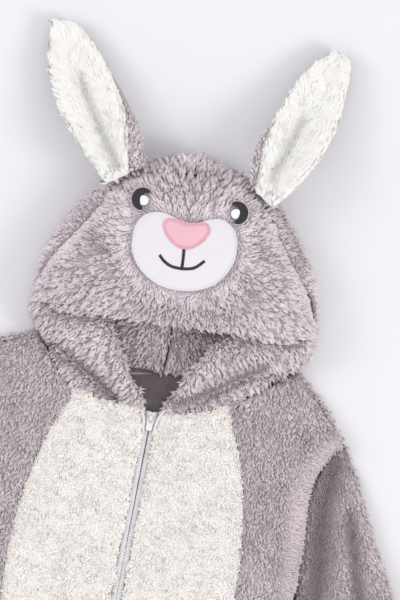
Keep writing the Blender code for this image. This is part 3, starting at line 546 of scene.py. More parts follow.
def lie_on_ear(side, p):
    """Towards the tip, and outwards near the rim."""
    tip = Vector((EAR_TIP[side][0] - p.x, EAR_TIP[side][1] - p.y, 0)).normalized()
    valley = [Vector((x * MM, y * MM, 0)) for x, y in EAR_VALLEY[side]]
    middle = min(valley, key=lambda m: (m.xy - p.xy).length)
    out = Vector((tip.y, -tip.x, 0))
    aside = (p - middle).dot(out)
    return tip + out * (1 if aside > 0 else -1) * 1.1 * ease(abs(aside) / EAR_HALF)


def lie_strength(name, p):
    """Weaker on the crown and brow, where the tufts curl every way."""
    return 1 - 0.35 * ease((p.y - BROW_Y) / BROW_TALL) if name == "hood_front" else 1.0


def lie_at(name, p):
    """The way that pile runs at a point, of any length."""
    side = 1 if p.x > 0 else -1
    if name.startswith("hood_back"):
        return Vector((p.x, (p.y - 0.27) * 0.7, 0))
    if name == "hood_front":
        return lie_on_hood(p) if p.y > BRIM_Y else Vector((side * 0.6, -0.8, 0))
    if name.startswith("ear"):
        return lie_on_ear(ear_side(name), p)
    if name.startswith("belly"):
        return lie_on_belly(p)
    if beside_sleeve(name, p) > 0.3:
        return Vector((side, -0.25, 0))
    return Vector((p.x * 1.2, -0.5, 0))


def add_lie(piece, name):
    """Store the lie, laid flat onto the surface, on each point."""
    mesh = piece.data
    lie = mesh.attributes.new("lie", "FLOAT_VECTOR", "POINT")
    values = []
    for vertex in mesh.vertices:
        way = lie_at(name, vertex.co)
        way = way.normalized() if way.length > 0 else Vector((0, -1, 0))
        way -= vertex.normal * way.dot(vertex.normal)
        way = way.normalized() if way.length > 0.05 else Vector((0, -1, 0))
        values += list(way * lie_strength(name, vertex.co))
    lie.data.foreach_set("vector", values)


# %% [markdown]
# ## One lock of pile
# A lock is a bundle of fibres that stick together: widest at its middle, thinning to a point, with a wave
# in it. At this size a four-sided spindle of fourteen triangles is enough, because there are tens of
# thousands of them. A few different waves are made once and shared by every panel. The attribute "along"
# runs from 0 at the root to 1 at the tip, so that the finish can shade a lock along its length.

# %% Lock shapes
LOCK_SIDES = 4


def bands(rings, sides):
    """Quads between rings of vertices that are numbered ring after ring."""
    faces = []
    for ring in range(rings - 1):
        for k in range(sides):
            a, b = ring * sides + k, ring * sides + (k + 1) % sides
            faces.append((a, b, b + sides, a + sides))
    return faces


def lock_mesh(name, profile, thin):
    """A spindle, thinner than wide. Each row of profile is (height, forward, sideways, half width)."""
    verts, along = [], []
    for height, forward, sideways, half in profile[:-1]:
        for k in range(LOCK_SIDES):
            angle = 2 * math.pi * k / LOCK_SIDES
            verts.append((forward + thin * half * math.cos(angle), sideways + half * math.sin(angle), height))
            along.append(height)
    height, forward, sideways, _ = profile[-1]
    verts.append((forward, sideways, height))
    along.append(1.0)
    tip, rings = len(verts) - 1, len(profile) - 1
    last = (rings - 1) * LOCK_SIDES
    faces = [tuple(reversed(range(LOCK_SIDES)))] + bands(rings, LOCK_SIDES)
    faces += [(last + k, last + (k + 1) % LOCK_SIDES, tip) for k in range(LOCK_SIDES)]
    mesh = bpy.data.meshes.new(name)
    mesh.from_pydata(verts, [], faces)
    mesh.attributes.new("along", "FLOAT", "POINT").data.foreach_set("value", along)
    return bpy.data.objects.new(name, mesh)


def lock_set(name, profiles, thin):
    """Several lock shapes in a collection that Geometry Nodes can pick from."""
    group = bpy.data.collections.new(name)
    for number, profile in enumerate(profiles):
        group.objects.link(lock_mesh(f"{name}_{number}", profile, thin))
    return group


# heights run 0 to 1 and widths are for a lock 1 wide: the tree scales length and width apart
WAVY_LOCKS = lock_set("wavy_lock", [
    [(0, 0, 0, 0.36), (0.50, 0.14, 0.12, 0.50), (1.0, 0.85, -0.05, 0)],
    [(0, 0, 0, 0.36), (0.46, 0.16, -0.14, 0.50), (1.0, 0.9, 0.15, 0)],
    [(0, 0, 0, 0.34), (0.52, 0.12, 0.18, 0.47), (0.97, 0.75, 0.45, 0)],
    [(0, 0, 0, 0.36), (0.48, 0.18, -0.16, 0.48), (1.0, 0.8, -0.45, 0)],
], 0.7)
STRAIGHT_LOCKS = lock_set("straight_lock", [
    [(0, 0, 0, 0.40), (0.50, 0.08, 0.08, 0.50), (1.0, 0.4, 0.1, 0)],
    [(0, 0, 0, 0.40), (0.45, 0.10, -0.10, 0.50), (1.0, 0.5, -0.15, 0)],
], 0.6)

# %% [markdown]
# ## Growing the pile
# A Geometry Nodes tree scatters points over a cloth and stands a lock on each. Real fleece gathers into
# clumps a few millimetres across, with dark partings between them. A Voronoi texture gives just that: its
# Position output is the centre of the clump that a point belongs to, and every lock leans towards its
# centre. The lock's direction adds up four pulls: the surface's normal, the lie, the clump and a little
# chance.

# %% The pile tree: where locks stand
pile_tree, pile_in, pile_out = new_group("pile", "GeometryNodeTree", [
    ("Cloth", "Geometry"), ("Locks", "Collection"), ("Spacing", "Float", 0.0016), ("Length", "Float", 0.007),
    ("Width", "Float", 0.0022), ("Clump size", "Float", 0.009), ("Lift", "Float", 0.6), ("Lie", "Float", 0.8),
    ("Gather", "Float", 0.7), ("Stray", "Float", 0.3), ("Spin", "Float", 0.6), ("Soft", "Float", 0.5),
    ("Seed", "Int", 1),
    ("Finish", "Material")], [("Pile", "Geometry")])
size_in = pile_in.outputs
CLOSE_PACKED = 1.6         # points tried for each square of the spacing: more than fit


def g(kind, settings=(), **values):
    """A node of the pile tree."""
    return add_node(pile_tree, kind, settings, **values)


def fmath(operation, *values):
    return math_node(pile_tree, operation, *values)


def vmath(operation, *values):
    return vector_node(pile_tree, operation, *values)


def carried(name, kind="FLOAT"):
    """A value that the cloth's points carry."""
    return g("GeometryNodeInputNamedAttribute", {"data_type": kind}, Name=name).outputs["Attribute"]


def chance_node(kind, number, **ends):
    """A random value for each lock, with its own seed number."""
    own_seed = fmath("ADD", size_in["Seed"], number * 100.0)
    return g("FunctionNodeRandomValue", {"data_type": kind}, Seed=own_seed, **ends)


per_area = fmath("DIVIDE", CLOSE_PACKED, fmath("MULTIPLY", size_in["Spacing"], size_in["Spacing"]))
scatter = g("GeometryNodeDistributePointsOnFaces", {"distribute_method": "POISSON"}, Mesh=size_in["Cloth"],
            Distance_Min=size_in["Spacing"], Density_Max=per_area, Density_Factor=carried("openness"),
            Selection=fmath("GREATER_THAN", carried("grows"), 0.5), Seed=size_in["Seed"])

# %% The pile tree: which way a lock points
COMB_HOLDS = 0.85          # a comb takes away this much of clump and chance
COMB_FLATTENS = 2.5        # and adds this much to the lie
SWAY_PER_METRE, SWAY = 60.0, 2.4
spot = g("GeometryNodeInputPosition").outputs[0]
lie = carried("lie", "FLOAT_VECTOR")
comb = carried("comb")
uncombed = fmath("SUBTRACT", 1.0, fmath("MULTIPLY", comb, COMB_HOLDS))
per_clump = fmath("DIVIDE", 1.0, size_in["Clump size"])
cells = g("ShaderNodeTexVoronoi", {"feature": "F1"}, Vector=spot, Scale=per_clump)
to_centre = vmath("SCALE", vmath("SUBTRACT", cells.outputs["Position"], spot), per_clump)
sway = g("ShaderNodeTexNoise", Vector=spot, Scale=SWAY_PER_METRE, Detail=1.0).outputs["Color"]
sway = vmath("SCALE", vmath("SUBTRACT", sway, (0.5, 0.5, 0.5)), SWAY)
chance = chance_node("FLOAT_VECTOR", 1, i0=(-1.0, -1.0, -1.0), i1=(1.0, 1.0, 1.0)).outputs[0]
flat = fmath("MULTIPLY", size_in["Lie"], fmath("ADD", 1.0, fmath("MULTIPLY", comb, COMB_FLATTENS)))
pulls = vmath("ADD", vmath("SCALE", scatter.outputs["Normal"], size_in["Lift"]), vmath("SCALE", lie, flat))
pulls = vmath("ADD", pulls, vmath("SCALE", to_centre, fmath("MULTIPLY", size_in["Gather"], uncombed)))
astray = fmath("MULTIPLY", size_in["Stray"], uncombed)
pulls = vmath("ADD", pulls, vmath("SCALE", vmath("ADD", sway, chance), astray))
stand = g("FunctionNodeAxesToRotation", {"primary_axis": "Z", "secondary_axis": "X"}, Primary_Axis=pulls,
          Secondary_Axis=lie)
twist = chance_node("FLOAT", 2, i2=-math.pi, i3=math.pi).outputs[1]
twist = g("ShaderNodeCombineXYZ", Z=fmath("MULTIPLY", twist, size_in["Spin"])).outputs[0]
turned = g("FunctionNodeRotateRotation", {"rotation_space": "LOCAL"}, Rotation=stand.outputs[0],
           Rotate_By=g("FunctionNodeEulerToRotation", Euler=twist).outputs[0])
print("pulls on a lock: normal, lie, clump and chance")

# %% The pile tree: how large a lock is
# a lock near its clump's edge is shorter, each has its own size, and a short lock is a little narrower too
AT_CENTRE, LESS_AT_EDGE = 1.12, 0.45
SHORTEST, LONGEST = 0.72, 1.2
NARROWEST = 0.35
from_centre = fmath("MULTIPLY", vmath("LENGTH", to_centre), uncombed)
shorter = fmath("SUBTRACT", AT_CENTRE, fmath("MULTIPLY", from_centre, LESS_AT_EDGE))
unlike = chance_node("FLOAT", 3, i2=SHORTEST, i3=LONGEST).outputs[1]
full = carried("full")
length = fmath("MULTIPLY", fmath("MULTIPLY", fmath("MULTIPLY", shorter, unlike), full), size_in["Length"])
width = fmath("ADD", NARROWEST, fmath("MULTIPLY", full, 1 - NARROWEST))
width = fmath("MULTIPLY", size_in["Width"], width)
size = g("ShaderNodeCombineXYZ", X=width, Y=width, Z=length).outputs[0]
locks = g("GeometryNodeCollectionInfo", Collection=size_in["Locks"], Separate_Children=True,
          Reset_Children=True)
which = chance_node("INT", 4, i4=0, i5=11).outputs[2]
place_locks = g("GeometryNodeInstanceOnPoints", Points=scatter.outputs["Points"], Instance=locks.outputs[0],
                Pick_Instance=True, Instance_Index=which, Rotation=turned.outputs[0], Scale=size)

# %% The pile tree: each lock's lightness with painted shade, and light
# a lock has its own lightness at random, and painted shade makes it darker near a parting between clumps
own = chance_node("FLOAT", 5, i2=0.0, i3=1.0).outputs[1]
tone = fmath("SUBTRACT", fmath("MULTIPLY_ADD", own, 0.35, 0.75), fmath("MULTIPLY", from_centre, 0.6))
keep_tone = g("GeometryNodeStoreNamedAttribute", {"data_type": "FLOAT", "domain": "INSTANCE"},
              Geometry=place_locks.outputs[0], Name="tone", Value=tone)
keep_normal = g("GeometryNodeStoreNamedAttribute", {"data_type": "FLOAT_VECTOR", "domain": "INSTANCE"},
                Geometry=keep_tone.outputs[0], Name="cloth_normal", Value=scatter.outputs["Normal"])
real = g("GeometryNodeRealizeInstances", Geometry=keep_normal.outputs[0])

# the floor presses back the tips that would sink into it
place = g("ShaderNodeSeparateXYZ", Vector=g("GeometryNodeInputPosition").outputs[0]).outputs
above = g("ShaderNodeCombineXYZ", X=place[0], Y=place[1], Z=fmath("MAXIMUM", place[2], 0.0))
pressed = g("GeometryNodeSetPosition", Geometry=real.outputs[0], Position=above.outputs[0])

# light passes through thin fibres, so a lock is shaded partly like its cloth, and the softest turn to the light
cloth_normal = carried("cloth_normal", "FLOAT_VECTOR")
own_normal = vmath("SCALE", g("GeometryNodeInputNormal").outputs[0], fmath("SUBTRACT", 1.0, size_in["Soft"]))
rim_light = fmath("MULTIPLY", fmath("MAXIMUM", fmath("SUBTRACT", size_in["Soft"], 0.6), 0.0), 2.0)
soft_normal = vmath("ADD", own_normal, vmath("SCALE", cloth_normal, size_in["Soft"]))
soft_normal = vmath("NORMALIZE", vmath("ADD", soft_normal, vmath("SCALE", (0.0, 0.0, 1.0), rim_light)))
shaded = g("GeometryNodeSetMeshNormal", {"mode": "FREE"}, Mesh=pressed.outputs[0], Custom_Normal=soft_normal)
bare = g("GeometryNodeRemoveAttribute", Geometry=shaded.outputs[0], Name="cloth_normal")
finish = g("GeometryNodeSetMaterial", Geometry=bare.outputs[0], Material=size_in["Finish"])
smooth = g("GeometryNodeSetShadeSmooth", Geometry=finish.outputs[0])
pile_tree.links.new(smooth.outputs[0], pile_out.inputs[0])
print("pile tree:", len(pile_tree.nodes), "nodes")


# %% Growing pile on one cloth
def run_nodes(piece, tree, values):
    """Run a Geometry Nodes tree on a piece with these inputs and keep the result as one plain mesh."""
    modifier = piece.modifiers.new(tree.name, "NODES")
    modifier.node_group = tree
    for item in tree.interface.items_tree:
        if item.item_type == "SOCKET" and item.in_out == "INPUT" and item.name in values:
            modifier[item.identifier] = values[item.name]
    bake(piece)


def grow_pile(cloth, name, values):
    """The pile of a cloth, as a piece of its own. The values go to the tree's inputs of those names."""
    piece = add_object(name, cloth.data.copy())
    run_nodes(piece, pile_tree, values)
    return piece


def add_values(piece, name, values):
    """Store one number for each point of a piece."""
    piece.data.attributes.new(name, "FLOAT", "POINT").data.foreach_set("value", values)


# %% [markdown]
# ## Dressing the panels
# A table gives each kind of panel its pile: how deep it is, which locks it uses and how they stand. The
# hood and its ears have the longest. The locks are shorter where a smooth patch lies on the cloth, as a
# sewing machine flattens them there, and the part of the garment below the chest is scattered more openly
# with wider locks.

# %% Pile of each panel
PILE_COLUMNS = ("deep", "Spacing", "Length", "Width", "Clump size", "Lift", "Lie", "Gather", "Stray", "Spin",
                "Soft")
PILE = {      # deep is in mm, the next four in metres
    "hood_front": (3.0, 0.00138, 0.0072, 0.0025, 0.0062, 0.55, 0.65, 1.0, 0.3, 0.25, 0.35),
    "hood_back": (2.6, 0.00168, 0.0066, 0.0028, 0.0060, 0.5, 0.7, 0.85, 0.3, 0.25, 0.4),
    "ear_outer": (2.0, 0.0014, 0.0042, 0.0028, 0.0045, 0.5, 0.6, 0.4, 0.3, 0.4, 0.7),
    "ear_inner": (1.0, 0.0014, 0.0085, 0.0044, 0.008, 0.12, 1.0, 0.08, 0.07, 0.08, 0.97),
    "belly": (0.6, 0.00146, 0.0036, 0.0044, 0.006, 0.12, 0.8, 0.1, 0.14, 0.2, 0.97),
    "side_front": (2.2, 0.00145, 0.0052, 0.0026, 0.0046, 0.42, 0.55, 0.6, 0.34, 0.35, 0.55),
    "sleeve": (2.2, 0.00145, 0.0058, 0.0027, 0.0054, 0.5, 0.65, 0.8, 0.32, 0.3, 0.5),
    "back": (1.6, 0.0019, 0.0056, 0.0038, 0.006, 0.7, 0.3, 0.6, 0.4, 0.6, 0.5),
}
WHITE_KINDS = ("belly", "ear_inner")
FINISH = {"hood_front": GREY_PILE, "hood_back": GREY_PILE, "ear_outer": GREY_PILE, "ear_inner": EAR_PILE,
          "belly": WHITE_PILE, "side_front": GREY_CURLS, "sleeve": GREY_CURLS, "back": GREY_CURLS}
SMOOTH_LEVELS = 1
OPEN_BELOW = (-0.005, -0.10)     # from here down to here the scatter thins out
OPEN_TO = {"sleeve": 0.4, "side_front": 0.22, "belly": 0.3, "back": 0.6}    # the share of locks left there
WIDER_BELOW = 0.75             # and how much wider and longer they are


def kind_of(name):
    """The row of the table for a panel: its name without left or right."""
    return name.replace("_left", "").replace("_right", "")


def share_below(p):
    """0 above the chest, 1 well below it."""
    return ease((OPEN_BELOW[0] - p.y) / (OPEN_BELOW[0] - OPEN_BELOW[1]))


# %% How closed in a point is
EVERYTHING = tree_of_solids(PANELS)
FOLD_REACH = 0.017
RAYS = 16
RAY_TURN = 2.4         # the golden angle, which spreads rays evenly
UP_RAYS = []
for ray in range(RAYS):
    height = math.sqrt((ray + 0.5) / RAYS)
    spread = math.sqrt(1 - height * height)
    UP_RAYS.append((spread * math.cos(RAY_TURN * ray), spread * math.sin(RAY_TURN * ray), height))


def hollowness(point, normal, lift):
    """The share of the view from a point of the cloth that nearby cloth closes, 0 in the open."""
    side = normal.orthogonal().normalized()
    other = normal.cross(side)
    start = point + normal * lift
    closed = 0.0
    for a, b, c in UP_RAYS:
        way = side * a + other * b + normal * c
        hit = EVERYTHING.ray_cast(start, way, FOLD_REACH)
        if hit[0] is not None and hit[1].dot(way) < 0:     # not the inside of its own solid
            closed += 1 - hit[3] / FOLD_REACH
    return closed / len(UP_RAYS)


# %% Creases drawn in the cloth: a small dip with painted shade
# each: panels, line in mm of the frame, half width in mm, how deep from 0 to 1, and whether it is on both sides;
# the depth lowers the cloth a little and sets painted shade there
CREASES = [
    (("hood",), [(-23.2, 376.0), (-15.3, 373.8), (-3.7, 374.0), (14.3, 376.7)], 2.4, 0.4, False),
    (("hood",), [(-2.6, 371.0), (-1.0, 364.9), (-1.4, 357.3)], 1.6, 0.3, False),
    # the ears' valleys, nearly all painted shade, since an ear's wall is thin
    (("ear_left_inner",), EAR_VALLEY["left"], 5.0, 0.5, False),
    (("ear_right_inner",), EAR_VALLEY["right"], 4.5, 0.5, False),
    # the sleeve's crevice beside the armhole's fold, and a trough: nearly all painted shade, since a sleeve's wall
    # is thin
    (("sleeve",), [(176.0, 140.0), (173.5, 128.0), (172.0, 103.0), (174.0, 76.0), (177.5, 48.0), (182.0, 11.0)],
     12.0, 0.85, True),
    (("sleeve",), [(196.0, 96.0), (205.0, 66.0), (217.0, 28.0), (228.0, -12.0)], 7.0, 0.85, True),
    (("hood_back",), [(-3.3, 237.0), (-6.5, 214.8), (-10.4, 191.5)], 2.2, 0.7, False),
    (("hood_back",), [(46.3, 237.2), (43.1, 224.4), (36.9, 212.9)], 5.0, 0.6, False),
    (("hood_front", "side_front_left"), [(19.7, 166.5), (44.2, 180.6), (64.8, 194.9), (91.3, 213.2)],
     6.0, 0.8, False),
    (("hood_front", "side_front_right", "belly_right"),
     [(-104.0, 199.0), (-76.8, 186.6), (-56.3, 176.2), (-33.5, 159.6)], 5.0, 1.0, False),
    # a broad band of painted shade along the brim's turned-under roll
    (("hood_front",), [(-34.3, 246.9), (-6.0, 245.8), (26.0, 250.2), (56.9, 259.9)], 10.0, 0.28, False),
    (("hood_front",), [(-80.8, 302.5), (-68.0, 290.0)], 6.0, 0.4, False),
    (("hood_front",), [(55.4, 291.5), (69.1, 279.2)], 6.0, 0.45, False),
    (("hood_front",), [(62.8, 321.0), (78.2, 309.1)], 5.0, 0.4, False),
    (("hood_back",), [(-84.4, 326.2), (-99.9, 299.7), (-109.6, 272.5)], 6.0, 0.35, False),
    (("hood_back",), [(71.8, 361.2), (93.4, 337.3), (110.0, 309.6)], 6.0, 0.35, False),
]
CREASE_DROP = 0.0018
THIN_DROP = 0.0004     # the walls of sleeves and ears are thin


def to_line(x, y, line):
    """The distance from a point to a line of points, all in mm."""
    best = 1e9
    for (ax, ay), (bx, by) in zip(line, line[1:]):
        dx, dy = bx - ax, by - ay
        t = min(max(((x - ax) * dx + (y - ay) * dy) / (dx * dx + dy * dy), 0.0), 1.0)
        best = min(best, math.hypot(x - ax - t * dx, y - ay - t * dy))
    return best


def crease_at(name, p, normal):
    """How deep in a drawn crease a point is, 0 to 1."""
    if normal.z < 0.2:
        return 0.0
    deep = 0.0
    for kinds, line, half, depth, both in CREASES:
        if name.startswith(kinds):
            x = abs(p.x) if both else p.x
            deep = max(deep, depth * math.exp(-(to_line(x / MM, p.y / MM, line) / half) ** 2))
    return deep


# %% Length and combing of the pile
UNDER_PATCH = 0.0042   # from the sunk cloth up to a patch's edge
CROWN_FROM = 0.350     # the crown's tufts stand above this height


PULL_SWING_Y = 0.143   # above this height the pull tab swings up between the belly panels
BESIDE_ZIP = 0.007
UNDER_SIDE = 0.012     # the hood's front is combed at its patches only, below this height from the floor


def length_at(name, p, hollow):
    """A lock's share of its full length: less in hollows and by patches, more over a neighbour's edge."""
    length = 1.0 - 0.5 * ease(hollow / 0.6)
    if name.startswith("belly"):
        length *= 1 + 0.9 * near_neck(p)
        if p.y > PULL_SWING_Y:
            length *= 0.3 + 0.7 * ease((abs(p.x) - BESIDE_ZIP) / 0.009)
        else:
            length *= 1 + 0.7 * fade(abs(p.x), BESIDE_ZIP, 0.005)
    if name.startswith("hood"):
        length *= 1 + 0.3 * ease((p.y - CROWN_FROM) / 0.015)
        length *= 1 + 0.7 * fade(gap(EARS, p), 0.003, 0.006)
    if name.startswith("side_front"):
        length *= 1 + 0.7 * fade(min(gap(HOOD_FRONT, p), gap(HOOD_BACKS, p)), 0.003, 0.006)
    if name == "hood_front":
        if PATCHES.ray_cast(p, UPWARDS)[0] is not None:
            return 0.25
        length *= 0.4 + 0.6 * ease((gap(PATCHES, p) - UNDER_PATCH) / 0.0025)
    return length * (1 + WIDER_BELOW * share_below(p))


def comb_at(name, p):
    """1 where pile is brushed flat: round the muzzle, along the hood's crease and the armhole's fold."""
    if name != "hood_front":
        return beside_sleeve(name, p)
    round_muzzle = 0.8 * fade(gap(PATCHES, p) - UNDER_PATCH, 0.002, 0.006)
    if p.y < BRIM_Y or p.z < UNDER_SIDE:
        return round_muzzle
    along_crease = fade(gap(HOOD_BACKS, p), 0.006, 0.008)
    return max(round_muzzle, 0.9 * along_crease * ease((CROWN_FROM - p.y) / 0.02))


GREY_TO = 0.405        # above this height an ear's grey side is hidden by the white one
GREY_FADES = 0.02


def rim_share(name, p):
    """The share of an ear's grey locks that show: none near the tip, few on the outer side."""
    if not name.endswith("outer"):
        return 1.0
    x, y = min(EAR_VALLEY[ear_side(name)], key=lambda spot: abs(spot[1] * MM - p.y))
    outside = (p.x - x * MM) * (1 if x > 0 else -1) > 0
    return (0.25 if outside else 1.0) * ease((GREY_TO + GREY_FADES - p.y) / GREY_FADES)


# %% Painted shade of the cloth in its hollows and creases
FLUSH_SEAM = 0.08      # a flush seam is hardly a hollow
# how much painted shade each kind of pile takes in its hollows, less where light passes through it; 1 is full shade
OWN_SHADE = {"ear_inner": 0.2, "ear_outer": 0.5, "belly": 0.4, "side_front": 0.8}


def hollows_of(name, cloth, points, folds, deep):
    """How closed in each point of a cloth is, 0 to 1, by its neighbours or by a crease: the amount of painted shade
    there.
    """
    shade = OWN_SHADE.get(kind_of(name), 1.0)
    hollows = [shade * hollowness(p, n, deep * MM + 0.0004) for p, n in points]
    if not name.startswith("hood"):
        for polygon, sewn in zip(cloth.data.polygons, cloth.data.attributes["sewn"].data):
            for index in polygon.vertices if sewn.value > 0.5 else ():
                hollows[index] = min(hollows[index], FLUSH_SEAM)
    return [max(hollow, fold) for hollow, fold in zip(hollows, folds)]


# %% Every panel's cloth and its pile
CLOTHS, PILES = {}, {}
for seed, name in enumerate(PANELS, 1):
    kind = kind_of(name)
    sizes = dict(zip(PILE_COLUMNS, PILE[kind]))
    deep = sizes.pop("deep")
    cloth = panel_cloth(name, deep, SMOOTH_LEVELS)
    points = [(v.co.copy(), v.normal.copy()) for v in cloth.data.vertices]
    folds = [crease_at(name, p, n) for p, n in points]
    hollows = hollows_of(name, cloth, points, folds, deep)
    for vertex, fold in zip(cloth.data.vertices, folds):
        vertex.co.z -= fold * (THIN_DROP if name.startswith(("sleeve", "ear")) else CREASE_DROP)
    add_lie(cloth, name)
    # hollow sets the painted shade of cloth and pile, and shortens the locks
    add_values(cloth, "hollow", hollows)
    add_values(cloth, "comb", [comb_at(name, p) for p, n in points])
    add_values(cloth, "full", [length_at(name, p, h) for (p, n), h in zip(points, hollows)])
    left = OPEN_TO.get(kind, 1.0)
    add_values(cloth, "openness", [(1 - (1 - left) * share_below(p)) * rim_share(name, p) for p, n in points])
    cloth.data.materials.append(WHITE_BACKING if kind in WHITE_KINDS else GREY_BACKING_WITH_SHADE)
    if name == "back":
        cloth.data.materials.append(INNER_SIDE_WITH_SHADE)
        for polygon, item in zip(cloth.data.polygons, cloth.data.attributes["grows"].data):
            polygon.material_index = int(item.value < 0.5 and abs(polygon.center.x) < NECK_HALF)
    sizes.update({"Locks": STRAIGHT_LOCKS if kind == "ear_inner" else WAVY_LOCKS, "Finish": FINISH[kind],
                  "Seed": seed})
    PILES[name] = grow_pile(cloth, name + "_pile", sizes)
    CLOTHS[name] = cloth
    triangles = sum(len(p.vertices) - 2 for p in PILES[name].data.polygons)
    print(f"{name}: cloth {len(cloth.data.polygons)} faces, pile {triangles} triangles")

# %% [markdown]
# ## Smooth patches of the face
# The muzzle, nose, eyes and highlights are cut from smooth knit and sewn on top of the pile. Each patch
# is built from its own outline: rings step inwards from the edge, and every ring is dropped onto the
# solid's upper face and given a small relief. The edge rolls down, a sewn line sinks in just inside it,
# and the middle puffs up a little.

# %% Outlines and how to follow them
MUZZLE = [(-46.5, 141), (-47.5, 152), (-46.5, 163), (-42, 171.5), (-35, 176.5), (-26, 178.5), (-17, 177), (-8, 174),
          (1, 172.5), (10, 174), (19, 178), (28, 180), (36, 178), (43, 172), (47, 163), (48, 152), (46.5, 141),
          (41, 130), (33, 121), (23, 115), (12, 111.5), (0, 110.5), (-12, 111.5), (-23, 115), (-33, 121.5),
          (-41, 130)]
NOSE = [(-21.6, 167.5), (-19.6, 172.4), (-15, 174.2), (-8, 173.2), (0.3, 171.8), (8, 173.6), (14.5, 174.8),
        (19.6, 172.6), (21.6, 167.5), (18.6, 160), (13.2, 153.8), (7, 149.7), (0.2, 148.2), (-6.6, 149.7),
        (-13, 153.8), (-18.6, 160)]
EYE = [(37.9, 195.3, 1.2), (42.3, 195.9, 2.5), (46.9, 193.9, 3.5), (49.3, 189.3, 4.0), (48.8, 184.0, 3.7),
       (46.0, 180.3, 2.6), (42.2, 178.9, 1.2)]
GLINT = (42.4, 186.8, 4.5)     # its centre and its radius


def smooth_line(points, closed, per):
    """A Catmull-Rom line through points of any width, with this many steps between two points."""
    count = len(points)
    line = []
    for k in range(count if closed else count - 1):
        near = [k + d for d in (-1, 0, 1, 2)]
        four = [points[i % count] if closed else points[min(max(i, 0), count - 1)] for i in near]
        for step in range(per):
            t = step / per
            line.append(tuple(0.5 * (2 * b + (c - a) * t + (2 * a - 5 * b + 4 * c - d) * t * t
                                     + (3 * b - a - 3 * c + d) * t ** 3) for a, b, c, d in zip(*four)))
    return line if closed else line + [tuple(points[-1])]


def inset(line, mm):
    """A closed anticlockwise or clockwise line moved inwards by this many mm."""
    count = len(line)
    pairs = [(line[k], line[(k + 1) % count]) for k in range(count)]
    area = sum(a[0] * b[1] - b[0] * a[1] for a, b in pairs)
    side = 1 if area > 0 else -1
    moved = []
    for k in range(count):
        (ax, ay), (bx, by) = line[k - 1][:2], line[(k + 1) % count][:2]
        size = math.hypot(bx - ax, by - ay) or 1.0
        moved.append((line[k][0] - side * (by - ay) / size * mm, line[k][1] + side * (bx - ax) / size * mm))
    return moved


def drop(tree, x, y):
    """The highest point of a solid over a flat point, in metres, and its normal."""
    px, py = laid(x, y)
    hit = tree.ray_cast(Vector((px, py, 0.3)), Vector((0, 0, -1)))
    if hit[0] is None:
        hit = tree.find_nearest(Vector((px, py, 0.05)))
        return Vector((px, py, hit[0].z)), Vector((0, 0, 1))
    return hit[0], hit[1]


# %% Building a patch from rings
def ring_solid(name, rings, low_rings):
    """A closed solid from rings of equal length, outermost first, the last one closed with a fan."""
    count = len(rings[0])
    loops = list(reversed(low_rings)) + rings
    verts = [v for ring in loops for v in ring]
    faces = bands(len(loops), count)
    for first, flip in ((0, True), ((len(loops) - 1) * count, False)):
        centre = len(verts)
        verts.append(sum((verts[first + k] for k in range(count)), Vector()) / count)
        for k in range(count):
            tri = (first + k, first + (k + 1) % count, centre)
            faces.append(tri[::-1] if flip else tri)
    return solid_piece(name, verts, faces)


def solid_piece(name, verts, faces):
    """A closed smooth-shaded piece whose faces look outwards."""
    mesh = bpy.data.meshes.new(name)
    mesh.from_pydata([tuple(v) for v in verts], [], faces)
    work = bmesh.new()
    work.from_mesh(mesh)
    bmesh.ops.recalc_face_normals(work, faces=work.faces)
    if work.calc_volume(signed=True) < 0:
        bmesh.ops.reverse_faces(work, faces=work.faces)
    work.to_mesh(mesh)
    work.free()
    smooth_shaded(mesh)
    return add_object(name, mesh)


SHRINK = (0.8, 0.6, 0.4, 0.2)


def sewn_patch(name, node, outline, centre, depths, relief, wall=1.0, base=None):
    """Rings inwards from an outline: the first ones at exact depths, the rest shrinking to the centre."""
    tree = base or tree_of_solids([node])
    rings = [inset(outline, d) for d in depths]
    last, deepest = rings[-1], depths[-1]
    for share in SHRINK:
        rings.append([(centre[0] + (x - centre[0]) * share,
                       centre[1] + (y - centre[1]) * share) for x, y in last])
    reach = min(math.hypot(x - centre[0], y - centre[1]) for x, y in last)
    depths = list(depths) + [deepest + reach * (1 - share) for share in SHRINK]
    # the edge's own points are read a hair inside, where the solid is sure to be
    tops = []
    for ring, depth in zip(rings, depths):
        safe = inset(ring, 0.4) if depth < 0.5 else ring
        row = []
        for (x, y), (sx, sy) in zip(ring, safe):
            z = drop(tree, sx, sy)[0].z + relief(depth, x, y) * MM
            row.append(Vector((*laid(x, y), z)))
        tops.append(row)
    lows = [[v - Vector((0, 0, wall * MM)) for v in row] for row in tops]
    return ring_solid(name, tops, lows)


MUZZLE_DEPTHS = (0.0, 0.25, 0.6, 1.1, 1.6, 2.0, 2.35, 2.7, 3.1, 3.8, 5.0, 7.0, 10.0)
NOSE_DEPTHS = (0.0, 0.3, 0.7, 1.2, 1.8, 2.3, 2.9, 3.8, 5.5)


def muzzle_relief(depth, x, y):
    """Height in mm at a depth in from the edge."""
    roll = -0.55 * (1 - ease(depth / 1.0)) ** 2
    sewn_in = -0.40 * math.exp(-((depth - 2.3) / 0.42) ** 2)
    puff = 0.55 * ease((depth - 2.4) / 7.0)
    ripple = 0.10 * math.sin(x * 0.55 + y * 0.31) * math.sin(y * 0.42 - 0.2 * x) * ease((depth - 3) / 6)
    return roll + sewn_in + puff + ripple + 0.25


def nose_relief(depth, x, y):
    return 0.45 - 0.4 * (1 - ease(depth / 0.8)) + 0.45 * ease((depth - 1.8) / 5)


def surface(piece):
    """A ray-casting tree over a finished piece."""
    return BVHTree.FromObject(piece, bpy.context.evaluated_depsgraph_get())


